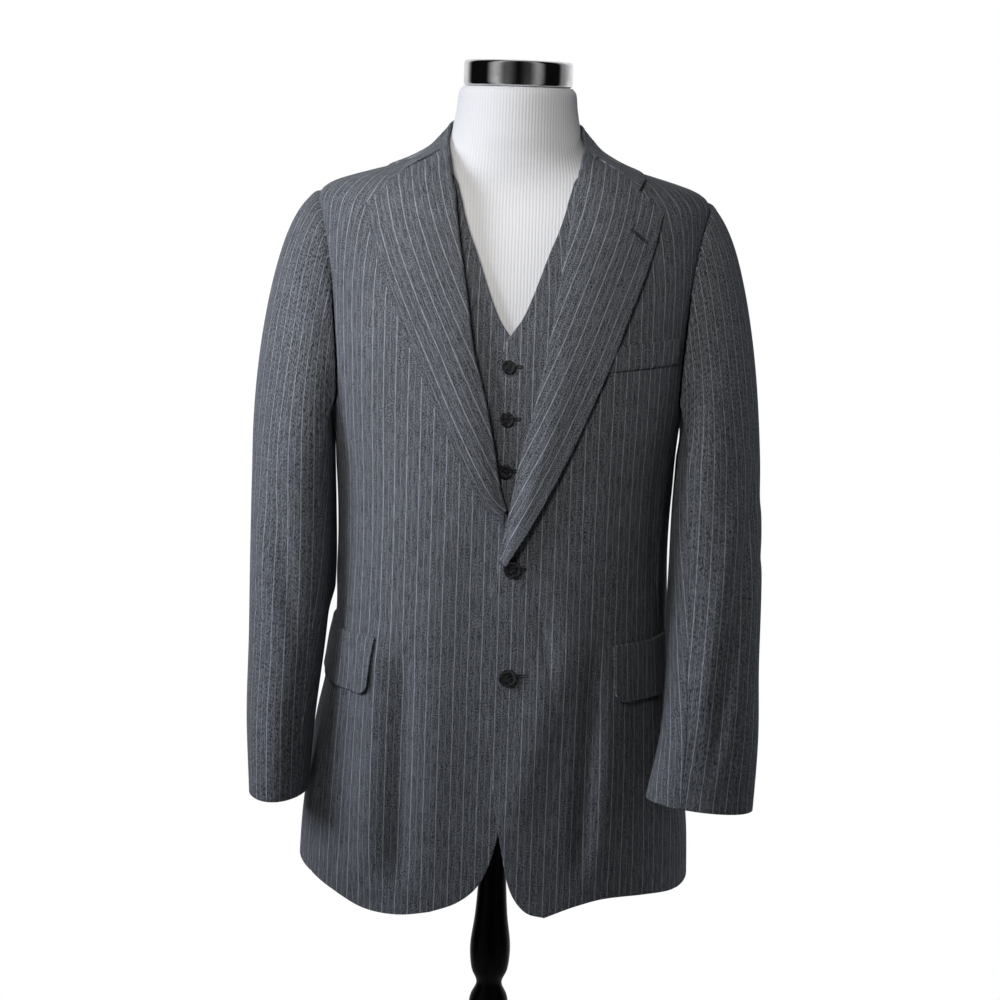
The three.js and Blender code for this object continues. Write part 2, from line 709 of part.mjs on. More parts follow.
const dipHeight = (u, v, angle, z) => rightDip(angle, z);
jacketFront('jacket_front_left', 1, LEFT_HEM, LEFT_FRONT_EDGE, LEFT_ROLL, () => 0);
jacketFront('jacket_front_right', -1, RIGHT_HEM, RIGHT_FRONT_EDGE, RIGHT_ROLL, dipHeight);

for (const [name, side, table] of [['left', 1, LEFT_HEM], ['right', -1, RIGHT_HEM]]) {
  const sideBorders = {
    bottom: hem(table, FRONT_SEAM_ANGLE, BACK_SEAM_ANGLE),
    top: armholeUnder,
    inner: frontSeam(table),
    outer: backSeam(table),
  };
  const sidePanel = panel(sideBorders, evenly(UNDERARM_COLUMNS), evenly(SKIRT_ROWS), { side });
  add(`jacket_side_${name}`, sidePanel, 'cloth');

  const backBorders = {
    bottom: hem(table, BACK_SEAM_ANGLE, 180),
    inner: join(backSeam(table), armholeBack, rowShare),
    outer: join(centreBack(table), centreBackTop, rowShare),
    top: join(
      (t) => shoulderSeam(1 - t),
      (t) => neckline(0.5 - t / 2),
      0.5,
    ),
  };
  add(`jacket_back_${name}`, panel(backBorders, evenly(FRONT_COLUMNS), bodyRows, { side }), 'cloth');
}

// ---------------------------------------------------------------- sleeves

/** Point of a sleeve's level section; alpha 0 is its outer side and 90 its front. */
function sleevePoint(table, alpha, z) {
  const value = (name) => column(table, 'z', name, z);
  const turn = radians(value('turn'));
  const direction = new THREE.Vector2(Math.cos(radians(alpha)), -Math.sin(radians(alpha)));
  const narrow = direction.dot(new THREE.Vector2(Math.cos(turn), -Math.sin(turn))) / value('across');
  const wide = direction.dot(new THREE.Vector2(-Math.sin(turn), -Math.cos(turn))) / value('along');
  const reach = 1 / Math.hypot(narrow, wide);
  return new THREE.Vector3(value('x') + reach * direction.x, value('y') + reach * direction.y, z);
}

/** Curve from the armhole down to the sleeve's first level section, leaving outwards. */
function sleeveHead(table, drop, seam, alpha) {
  const level = table[0].z;
  const ring = sleevePoint(table, alpha, level);
  const away = (1 + Math.cos(radians(alpha))) / 2;
  const under = smoothstep(-Math.cos(radians(alpha)), -0.5, 0.3);
  const start = new THREE.Vector3(
    0.3 + 0.6 * away,
    -0.45 * Math.sin(radians(alpha)),
    -lerp(0.9, drop, away),
  ).normalize();
  const inwards = new THREE.Vector2(
    (ARMHOLE_CENTRE.angle - seam.angle) * MM_PER_DEGREE,
    ARMHOLE_CENTRE.z - seam.z,
  ).setLength(SEAM_GAP);
  const from = skin(seam.angle + inwards.x / MM_PER_DEGREE, seam.z + inwards.y, 2 * LAY_GAP * under);
  const reach = from.distanceTo(ring) * 0.6;
  const end = sleevePoint(table, alpha, level - 10).sub(ring).setLength(reach * 1.2);
  start.multiplyScalar(reach);
  return (t) => {
    const t2 = t * t;
    const t3 = t2 * t;
    return new THREE.Vector3()
      .addScaledVector(from, 2 * t3 - 3 * t2 + 1)
      .addScaledVector(start, t3 - 2 * t2 + t)
      .addScaledVector(ring, 3 * t2 - 2 * t3)
      .addScaledVector(end, t3 - t2);
  };
}

/** Grid of one sleeve piece, from the armhole down to the cuff. */
function sleeveGrid({ table, levels, slant, drop }, stations) {
  const rows = [];
  const heads = stations.map(({ seam, alpha }) => sleeveHead(table, drop, seam, alpha));
  for (let i = 0; i <= SLEEVE_HEAD_ROWS; i += 1) {
    rows.push(heads.map((head) => head(i / SLEEVE_HEAD_ROWS)));
  }
  const cuff = levels[levels.length - 1];
  for (const z of levels) {
    const low = smoothstep(-z, -cuff - 90, -cuff);
    rows.push(stations.map(({ alpha }) => {
      const point = sleevePoint(table, alpha, z);
      point.z += low * slant * (point.x - column(table, 'z', 'x', z));
      return point;
    }));
  }
  return rows;
}

/** Directions away from the arm at each point of a sleeve's grid. */
function gridNormals(grid) {
  const rows = grid.length;
  const columns = grid[0].length;
  return grid.map((line, i) => line.map((point, j) => {
    const along = grid[Math.min(i + 1, rows - 1)][j].clone().sub(grid[Math.max(i - 1, 0)][j]);
    const across = line[Math.min(j + 1, columns - 1)].clone().sub(line[Math.max(j - 1, 0)]);
    return along.cross(across).normalize();
  }));
}

function sleeve(side, name, cut) {
  const front = [];
  const back = [];
  const under = [];
  for (let k = 0; k <= ARM_ROWS; k += 1) {
    const t = k / ARM_ROWS;
    front.push({ seam: armholeFront(armShares[k]), alpha: SEAM_ALPHA.front * (1 - t) });
    back.push({ seam: armholeBack(armShares[ARM_ROWS - k]), alpha: lerp(360, SEAM_ALPHA.back, t) });
  }
  for (let k = 0; k <= UNDERARM_COLUMNS; k += 1) {
    const t = k / UNDERARM_COLUMNS;
    under.push({ seam: armholeUnder(1 - t), alpha: lerp(SEAM_ALPHA.back, SEAM_ALPHA.front, t) });
  }
  // The whole tube gives the directions, so that both pieces agree along their seams.
  const stations = [...front, ...back.slice(1), ...under.slice(1, -1)];
  const tube = sleeveGrid(cut, stations);
  const wrapped = tube.map((line) => [line[line.length - 1], ...line, line[0]]);
  const normals = gridNormals(wrapped).map((line) => line.slice(1, -1));
  stations.forEach(({ seam, alpha }, j) => {
    const shared = 1 - smoothstep(-Math.cos(radians(alpha)), -0.7, 0);
    normals[0][j].lerp(skinNormal(seam.angle, seam.z), shared).normalize();
  });
  const pick = (columns) => {
    const outer = tube.map((line) => columns.map((j) => line[j].clone()));
    const inner = outer.map((line, i) => (
      line.map((point, k) => point.clone().addScaledVector(normals[i][columns[k]], -CLOTH))
    ));
    for (const grid of [outer, inner]) {
      grid.flat().forEach((point) => {
        point.x *= side;
      });
    }
    return wall(insetSides(outer), insetSides(inner));
  };
  const topCount = front.length + back.length - 1;
  const topColumns = Array.from({ length: topCount }, (_, j) => j);
  const underColumns = Array.from(
    { length: UNDERARM_COLUMNS + 1 },
    (_, j) => (topCount - 1 + j) % stations.length,
  );
  add(`sleeve_top_${name}`, pick(topColumns), 'cloth');
  add(`sleeve_under_${name}`, pick(underColumns), 'cloth');
}

/** Moves only the two long sides of a grid inwards, to leave half a seam gap. */
function insetSides(grid) {
  return grid.map((line) => {
    const last = line.length - 1;
    const pulled = line.map((point) => point.clone());
    pulled[0].add(line[1].clone().sub(line[0]).setLength(SEAM_GAP * 0.8));
    pulled[last].add(line[last - 1].clone().sub(line[last]).setLength(SEAM_GAP * 0.8));
    return pulled;
  });
}

sleeve(1, 'left', LEFT_SLEEVE_CUT);
sleeve(-1, 'right', RIGHT_SLEEVE_CUT);

// ---------------------------------------------------------------- collar and lapels

/** Point of the collar at share t from the centre back, on one row of its section. */
function collarPoint(t, { from, to, share }, height) {
  const low = collarLine(from, t);
  const high = collarLine(to, t);
  const clear = from === 'seam' ? NECK_SEAM_GAP * (1 - share) : 0;
  return skin(lerp(low.angle, high.angle, share), lerp(low.z, high.z, share) + clear, height);
}

function collar() {
  const halfColumns = 10;
  const face = (name) => COLLAR_SECTION.map((row) => {
    const line = [];
    for (let j = -halfColumns; j <= halfColumns; j += 1) {
      const point = collarPoint(Math.abs(j) / halfColumns, row, row[name]);
      if (name === 'uncovered') point.z += row.rise;
      if (j < 0) point.x *= -1;
      line.push(point);
    }
    return line;
  });
  return wall(insetBorder(face('uncovered'), SEAM_GAP), insetBorder(face('covered'), SEAM_GAP));
}
add('collar', collar(), 'cloth');

/** Height of a lapel's covered face above the front it is folded onto. */
function lapelHeight(u, v, spring) {
  const belly = 2.2 * Math.sin(Math.PI * Math.min(u * 1.1, 1)) * smoothstep(v, 0, 0.3);
  const edge = 2.6 * u * (1 - smoothstep(v, 0.8, 1));
  return 2 * LAY_GAP + belly + edge + spring * (1 - smoothstep(v, 0.05, 0.5)) * smoothstep(u, 0, 0.6);
}

function lapel(name, side, roll, edge, spring, dip) {
  const top = [GORGE_TOP, onFront(NOTCH), onFront(edge[edge.length - 1])];
  const rollCurve = domainCurve([...roll.map(onFront), GORGE_TOP]);
  const edgeCurve = domainCurve(edge.map(onFront));
  const borders = {
    inner: (v) => rollCurve(lerp(0.02, 1, v)),
    outer: edgeCurve,
    bottom: (u) => ({
      angle: lerp(rollCurve(0.02).angle, edgeCurve(0).angle, u),
      z: lerp(rollCurve(0.02).z, edgeCurve(0).z, u),
    }),
    top: domainCurve(top),
  };
  const height = (u, v, angle, z) => CLOTH + lapelHeight(u, v, spring) + dip(angle, z);
  add(name, panel(borders, evenly(6), evenly(12), { side, height }), 'cloth');
}

lapel('lapel_left', 1, LEFT_ROLL, LEFT_LAPEL_EDGE, 7, () => 0);
lapel('lapel_right', -1, RIGHT_ROLL, RIGHT_LAPEL_EDGE, 1.5, rightDip);

// ---------------------------------------------------------------- pockets

function flap(name, side, { x, top, height, slant }) {
  const first = angleAt({ x, z: top });
  const length = radians(FLAP_LENGTH_DEGREES) * 175;
  const across = (u) => lerp(first, first + FLAP_LENGTH_DEGREES, u);
  const bottomZ = (u) => {
    const fromEnd = Math.min(u, 1 - u) * length;
    const inside = Math.max(FLAP_CORNER - fromEnd, 0) / FLAP_CORNER;
    return top - height + FLAP_CORNER * (1 - Math.sqrt(1 - inside * inside * 0.98));
  };
  const borders = {
    bottom: (u) => ({ angle: across(u) + slant, z: bottomZ(u) }),
    top: (u) => ({ angle: across(u), z: top }),
    inner: (v) => ({ angle: first + slant * (1 - v), z: lerp(bottomZ(0), top, v) }),
    outer: (v) => ({ angle: across(1) + slant * (1 - v), z: lerp(bottomZ(1), top, v) }),
  };
  const flapHeight = (u, v) => CLOTH + 1.6 * LAY_GAP + 1.6 * (1 - v);
  add(name, panel(borders, evenly(9), evenly(3), { side, height: flapHeight }), 'cloth');
}
flap('pocket_flap_left', 1, LEFT_FLAP);
flap('pocket_flap_right', -1, RIGHT_FLAP);

function breastWelt() {
  const edge = (ends) => {
    const [from, to] = ends;
    return (u) => onFront({ x: lerp(from.x, to.x, u), z: lerp(from.z, to.z, u) });
  };
  const end = (u) => (v) => {
    const low = edge(BREAST_WELT.bottom)(u);
    const high = edge(BREAST_WELT.top)(u);
    return { angle: lerp(low.angle, high.angle, v), z: lerp(low.z, high.z, v) };
  };
  const borders = {
    bottom: edge(BREAST_WELT.bottom),
    top: edge(BREAST_WELT.top),
    inner: end(0),
    outer: end(1),
  };
  return panel(borders, evenly(6), evenly(1), { height: () => CLOTH + 1.5 * LAY_GAP });
}
add('breast_welt', breastWelt(), 'cloth');

// ---------------------------------------------------------------- waistcoat

const waistcoatSide = seamLine(
  { angle: WAISTCOAT_SIDE.angle, z: WAISTCOAT_SIDE.bottom },
  { angle: WAISTCOAT_SIDE.angle, z: WAISTCOAT_SIDE.top },
);
const waistcoatShoulder = seamLine(WAISTCOAT_NECK_POINT, WAISTCOAT_SHOULDER_END);
const waistcoatArmhole = (rows) => domainCurve([
  { angle: WAISTCOAT_SIDE.angle, z: WAISTCOAT_SIDE.top },
  ...rows,
  WAISTCOAT_SHOULDER_END,
]);

const waistcoatRows = evenly(12).map((t) => 1 - (1 - t) ** 1.3);

/** Outer face of the waistcoat against the jacket's, at a share of its way up. */
const waistcoatDepth = (v) => lerp(WAISTCOAT_DEPTH, WAISTCOAT_SHOULDER_DEPTH, smoothstep(v, 0.66, 1));

for (const [name, side, dip] of [['left', 1, 0], ['right', -1, WAISTCOAT_OVERLAP]]) {
  const borders = {
    bottom: domainCurve([...WAISTCOAT_HEM.map(onFront), { angle: 90, z: WAISTCOAT_SIDE.bottom }]),
    outer: join(waistcoatSide, waistcoatArmhole(WAISTCOAT_ARMHOLE_FRONT), 0.4),
    inner: join(
      domainCurve(WAISTCOAT_EDGE.map(onFront)),
      domainCurve([...WAISTCOAT_NECK.map(onFront), WAISTCOAT_NECK_POINT]),
      0.4,
    ),
    top: waistcoatShoulder,
  };
  const height = (u, v, angle, z) => {
    const x = ringPoint(JACKET_RINGS, angle, z).x;
    return waistcoatDepth(v) - dip * smoothstep(60 - x, 0, 40) * smoothstep(1330 - z, 0, 60);
  };
  add(`waistcoat_front_${name}`, panel(borders, evenly(6), waistcoatRows, { side, height }), 'cloth');

  const backBorders = {
    bottom: (u) => ({ angle: lerp(90, 180, u), z: lerp(WAISTCOAT_SIDE.bottom, WAISTCOAT_BACK_HEM, u) }),
    inner: join(waistcoatSide, waistcoatArmhole(WAISTCOAT_ARMHOLE_BACK), 0.4),
    outer: (v) => ({ angle: 180, z: lerp(WAISTCOAT_BACK_HEM, WAISTCOAT_BACK_NECK, v) }),
    top: join(
      (t) => waistcoatShoulder(1 - t),
      (t) => ({
        angle: lerp(90, 180, t),
        z: lerp(WAISTCOAT_NECK_POINT.z, WAISTCOAT_BACK_NECK, t),
      }),
      0.5,
    ),
  };
  const backHeight = (u, v) => waistcoatDepth(v) - WAISTCOAT_BACK_DROP * smoothstep(v, 0.66, 1);
  const backPanel = panel(backBorders, evenly(8), waistcoatRows, { side, height: backHeight });
  add(`waistcoat_back_${name}`, backPanel, 'cloth');
}

// ---------------------------------------------------------------- buttons

/** Round button with a raised rim, its back face on the given point of the front. */
function button(name, { radius, height }, x, z, lift) {
  const profile = [
    new THREE.Vector2(0, 0),
    new THREE.Vector2(radius * 0.82, 0),
    new THREE.Vector2(radius, height * 0.45),
    new THREE.Vector2(radius * 0.95, height * 0.9),
    new THREE.Vector2(radius * 0.84, height),
    new THREE.Vector2(radius * 0.7, height * 0.72),
    new THREE.Vector2(0, height * 0.66),
  ];
  const mesh = add(name, new THREE.LatheGeometry(profile, 16), 'button');
  const angle = angleAt({ x, z });
  mesh.position.copy(skin(angle, z, lift));
  mesh.quaternion.setFromUnitVectors(new THREE.Vector3(0, 1, 0), skinNormal(angle, z));
}

button('jacket_button_upper', JACKET_BUTTON, 10, 1047, LAY_GAP);
button('jacket_button_lower', JACKET_BUTTON, 9, 934, LAY_GAP);
for (let k = 0; k < WAISTCOAT_BUTTONS; k += 1) {
  const z = WAISTCOAT_BUTTON_TOP - k * WAISTCOAT_BUTTON_PITCH;
  button(`waistcoat_button_${k + 1}`, WAISTCOAT_BUTTON, -0.5, z, WAISTCOAT_DEPTH + LAY_GAP);
}

// ---------------------------------------------------------------- dress form

const formRings = [];
for (const { z } of FORM_RINGS) {
  const ring = [];
  for (let j = 0; j < FORM_COLUMNS; j += 1) ring.push(ringPoint(FORM_RINGS, (360 * j) / FORM_COLUMNS, z));
  formRings.push(ring);
}
add('form_torso', stack(formRings), 'cover');

/** Turned solid with flat ends on the post's axis. */
function turned(name, rows, segments, finish) {
  const profile = [new THREE.Vector2(0, rows[0].z)];
  rows.forEach(({ radius, z }) => profile.push(new THREE.Vector2(radius, z)));
  profile.push(new THREE.Vector2(0, rows[rows.length - 1].z));
  const mesh = add(name, new THREE.LatheGeometry(profile, segments), finish);
  mesh.rotation.x = Math.PI / 2;
  return mesh;
}

turned('neck_cap', CAP_PROFILE, 36, 'chrome').position.z = TOTAL_HEIGHT - CAP_HEIGHT;
turned('stand_post', POST_PROFILE, 24, 'wood');
turned('stand_hub', HUB_PROFILE, 24, 'wood');

// ---------------------------------------------------------------- stand legs

/** Side outline of a leg: out from the hub, down in an S and out to a flat foot. */
function legOutline() {
  const outline = new THREE.Shape();
  outline.moveTo(LEG_ROOT, 222);
  outline.bezierCurveTo(95, 216, 105, 110, 150, 58);
  outline.bezierCurveTo(172, 34, 200, 34, FOOT_RADIUS, 20);
  outline.lineTo(FOOT_RADIUS, 0);
  outline.lineTo(FOOT_RADIUS - 46, 0);
  outline.bezierCurveTo(150, 8, 128, 30, 104, 84);
  outline.bezierCurveTo(86, 124, 74, 146, LEG_ROOT, 152);
  outline.closePath();
  return outline;
}

for (let k = 0; k < 3; k += 1) {
  const geometry = new THREE.ExtrudeGeometry(legOutline(), {
    depth: LEG_THICKNESS,
    bevelEnabled: false,
    curveSegments: 8,
  });
  geometry.translate(0, 0, -LEG_THICKNESS / 2);
  geometry.rotateX(Math.PI / 2);
  const mesh = add(`stand_leg_${k + 1}`, geometry, 'wood');
  mesh.rotation.z = radians(120 * k);
}

export default object;
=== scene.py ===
"""Pinstripe blazer and waistcoat set on a dress form with a turned stand.

Lengths in the tables are millimetres. Angles run round the post's axis in degrees: 0 is the centre
front (-Y), 90 the wearer's left side (+X) and 180 the centre back. The wearer's right side mirrors
the left. Meshes are made in metres.
"""
import logging
import math
from dataclasses import dataclass, field
from enum import Enum
from typing import Callable, Iterable, Sequence

import bmesh
import bpy
import numpy as np
from bpy.types import ID, Material, Mesh, NodeSocket, NodeTree, Object
from mathutils import Matrix, Vector


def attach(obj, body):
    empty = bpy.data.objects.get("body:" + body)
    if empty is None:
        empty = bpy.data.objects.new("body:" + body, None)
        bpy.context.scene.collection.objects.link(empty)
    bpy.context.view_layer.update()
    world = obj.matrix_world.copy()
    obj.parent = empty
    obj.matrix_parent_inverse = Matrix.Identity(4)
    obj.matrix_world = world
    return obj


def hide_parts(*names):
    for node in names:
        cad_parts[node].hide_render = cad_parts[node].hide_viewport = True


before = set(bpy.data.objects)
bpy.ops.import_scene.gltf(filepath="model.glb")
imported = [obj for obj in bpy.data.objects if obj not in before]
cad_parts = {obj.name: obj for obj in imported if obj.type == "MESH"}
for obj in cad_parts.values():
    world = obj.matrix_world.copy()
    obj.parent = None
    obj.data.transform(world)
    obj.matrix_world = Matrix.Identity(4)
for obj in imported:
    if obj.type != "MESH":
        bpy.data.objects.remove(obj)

LOG = logging.getLogger("scene")
Array = np.ndarray
Line = Callable[[Array], Array]  # gives points for shares from 0 to 1
Pair = tuple[float, float]
Pairs = Sequence[Pair]
MM = 0.001
UV_UNIT = 100.0  # millimetres of cloth for one unit of its UV map
UV_NAME = "cloth"

CLOTH = 2.0  # thickness of a cloth wall
EDGE_ROUND = 0.3  # how far the middle of a cut edge stands out, for each unit of thickness
CLOTH_CREASE = 62  # degrees between faces above which cloth is shaded as an edge
MM_PER_DEGREE = 3.0  # round the body, about its mean radius
SEAM_GAP = 0.36
NECK_SEAM_GAP = 0.9
LAY_GAP = 0.5
OVERLAP_DEPTH = 3.6  # how far the right front dips to pass under the left front
WAISTCOAT_DEPTH = -10.0
WAISTCOAT_SHOULDER_DEPTH = -3.0
WAISTCOAT_BACK_DROP = 1.1
WAISTCOAT_OVERLAP = 2.8


class Side(Enum):
    """Side of the body as the wearer names it; the value is the sign of X."""

    LEFT = 1
    RIGHT = -1

    @property
    def word(self) -> str:
        """The side's name in lower case."""
        return self.name.lower()


class Face(Enum):
    """Part of the body that a panel covers, which says where its stripes are counted from."""

    FRONT = 0
    SIDE = 91
    BACK = 180


# ---- numbers


def smoothstep(value: Array | float, low: float, high: float) -> Array:
    """Smooth share from 0 at low to 1 at high.

    Args:
        value: Where to read it.
        low: Where the share leaves 0.
        high: Where the share reaches 1.

    Returns:
        The shares.
    """
    share = np.clip((np.asarray(value, float) - low) / (high - low), 0.0, 1.0)
    return share * share * (3 - 2 * share)


def lerp(low: Array | float, high: Array | float, share: Array | float) -> Array:
    """Straight blend from low to high."""
    return low + (high - low) * share


def hermite(t: Array, start: Array, end: Array, leave: Array, arrive: Array) -> Array:
    """Cubic curve between two values with a given slope at each.

    Args:
        t: Shares from 0 to 1.
        start: Value at 0.
        end: Value at 1.
        leave: Slope at 0.
        arrive: Slope at 1.

    Returns:
        The curve's values.
    """
    t2, t3 = t * t, t * t * t
    return (
        (2 * t3 - 3 * t2 + 1) * start + (t3 - 2 * t2 + t) * leave
        + (3 * t2 - 2 * t3) * end + (t3 - t2) * arrive
    )


@dataclass(frozen=True)
class Table:
    """Rows of numbers that are read smoothly between rows.

    Attributes:
        names: Column names; the first is the key.
        rows: The rows, in rising or falling order of the key.
    """

    names: tuple[str, ...]
    rows: tuple[tuple[float, ...], ...]

    def read(self, name: str, at: Array | float) -> Array:
        """Smooth values of one column.

        Args:
            name: The column.
            at: Keys to read it at.

        Returns:
            The values, held at the ends outside the rows.
        """
        data = np.array(sorted(self.rows), float)
        keys, values = data[:, 0], data[:, self.names.index(name)]
        order = np.arange(len(keys))
        low, high = np.maximum(order - 1, 0), np.minimum(order + 1, len(keys) - 1)
        slope = (values[high] - values[low]) / (keys[high] - keys[low])
        k = np.clip(np.searchsorted(keys, at, side="right") - 1, 0, len(keys) - 2)
        span = keys[k + 1] - keys[k]
        t = np.clip((at - keys[k]) / span, 0.0, 1.0)
        return hermite(t, values[k], values[k + 1], span * slope[k], span * slope[k + 1])


def through(points: Sequence[Sequence[float]], samples: int = 40) -> Array:
    """Dense smooth line through points, as a centripetal spline.

    Args:
        points: The points, of two or three numbers each.
        samples: Samples for each span.

    Returns:
        The line's points.
    """
    p = np.array(points, float)
    if len(p) == 2:
        return lerp(p[0], p[1], np.linspace(0, 1, samples + 1)[:, None])
    p = np.vstack([2 * p[0] - p[1], p, 2 * p[-1] - p[-2]])
    step = np.maximum(np.linalg.norm(np.diff(p, axis=0), axis=1) ** 0.5, 1e-4)
    line = []
    for i in range(1, len(p) - 2):
        a, b, c = step[i - 1], step[i], step[i + 1]
        m1 = ((p[i] - p[i - 1]) / a - (p[i + 1] - p[i - 1]) / (a + b) + (p[i + 1] - p[i]) / b) * b
        m2 = ((p[i + 1] - p[i]) / b - (p[i + 2] - p[i]) / (b + c) + (p[i + 2] - p[i + 1]) / c) * b
        t = np.linspace(0, 1, samples + 1)[int(i > 1):, None]
        line.append(hermite(t, p[i], p[i + 1], m1, m2))
    return np.vstack(line)


def even_line(points: Array) -> Line:
    """Line through dense points, read at even shares of its length."""
    length = np.concatenate([[0], np.cumsum(np.linalg.norm(np.diff(points, axis=0), axis=1))])

    def at(t: Array) -> Array:
        """Points at shares of the length."""
        target = np.clip(t, 0, 1) * length[-1]
        return np.stack([np.interp(target, length, points[:, k]) for k in range(points.shape[1])], -1)

    return at


def join(first: Line, second: Line, share: float) -> Line:
    """Two lines one after the other, the first up to the given share."""

    def at(t: Array) -> Array:
        """Points at shares of the joined line."""
        t = np.asarray(t, float)
        early = first(np.clip(t / share, 0, 1))
        late = second(np.clip((t - share) / (1 - share), 0, 1))
        return np.where((t < share)[..., None], early, late)

    return at


def near_borders(count: int, close: Sequence[float] = (0.003, 0.008)) -> Array:
    """Shares from 0 to 1 in even steps, with a few more close to both ends.

    Args:
        count: Even steps.
        close: The extra shares near 0, mirrored near 1.

    Returns:
        The rising shares.
    """
    extra = np.array(close)
    return np.unique(np.concatenate([np.linspace(0, 1, count + 1), extra, 1 - extra]))


def run_along(points: Array, axis: int) -> Array:
    """Length along a grid's lines from their first point.

    Args:
        points: Grid of points.
        axis: 0 along columns, 1 along rows.

    Returns:
        The lengths at the grid's points.
    """
    step = np.linalg.norm(np.diff(points, axis=axis), axis=2)
    total = np.cumsum(step, axis=axis)
    return np.insert(total, 0, 0.0, axis=axis)


# ---- the body's surface

RING_COLUMNS = ("z", "half", "front", "back", "square")
JACKET_RINGS = Table(RING_COLUMNS, (
    (672, 214, 140, 122, 2.3), (760, 209, 139, 118, 2.35), (850, 194, 137, 111, 2.4),
    (930, 181, 135, 99, 2.4), (1000, 174.5, 132, 90, 2.4), (1060, 172.5, 131, 89, 2.4),
    (1130, 175.5, 130, 95, 2.4), (1200, 184.5, 129, 103, 2.4), (1270, 192, 126, 108, 2.35),
    (1330, 197, 120, 110, 2.3), (1380, 202, 110, 109, 2.2), (1405, 205, 102, 106, 2.1),
    (1414, 205.5, 99, 104.5, 2.05), (1420, 203.5, 96.5, 103, 2), (1426, 198, 94, 101.5, 2),
    (1432, 187.5, 91.5, 100, 2), (1438, 170, 89, 98, 2), (1444, 149, 86.5, 95.5, 2),
    (1449, 131, 84, 93, 2), (1454, 113, 82, 90.5, 2), (1459, 100, 80, 88, 2),
    (1465, 90, 78, 85.5, 2), (1473, 82, 75, 82, 2), (1485, 75, 72, 79, 2),
    (1500, 70, 69, 76, 2), (1512, 68, 67.5, 74, 2),
))
FORM_RINGS = Table(RING_COLUMNS, (
    (790, 150, 105, 97, 2.2), (800, 156, 110, 101, 2.2), (840, 158, 113, 99, 2.25),
    (900, 156, 112, 88, 2.3), (1000, 149, 109, 74, 2.3), (1060, 149, 109, 72, 2.3),
    (1130, 154, 110, 78, 2.3), (1200, 162, 110, 86, 2.3), (1270, 170, 107, 91, 2.3),
    (1330, 176, 101, 92, 2.25), (1375, 181, 91, 91, 2.15), (1396, 182, 83.5, 86, 2.1),
    (1410, 181, 77.6, 82.5, 2), (1421, 174, 73.2, 79, 2), (1431, 160, 69.7, 76, 2),
    (1438, 143.6, 68.2, 74, 2), (1443, 126.6, 67.7, 73, 2), (1448, 109.6, 67.2, 71.5, 2),
    (1453.5, 95.1, 66.6, 69.5, 2), (1460, 84.1, 66, 68, 2), (1469, 75.5, 65.2, 66.5, 2),
    (1482, 69, 65.5, 66.5, 2), (1495, 66, 64.2, 65, 2), (1512, 63, 63, 63, 2),
    (1528, 61, 61, 61, 2), (1533, 57, 57, 57, 2),
))


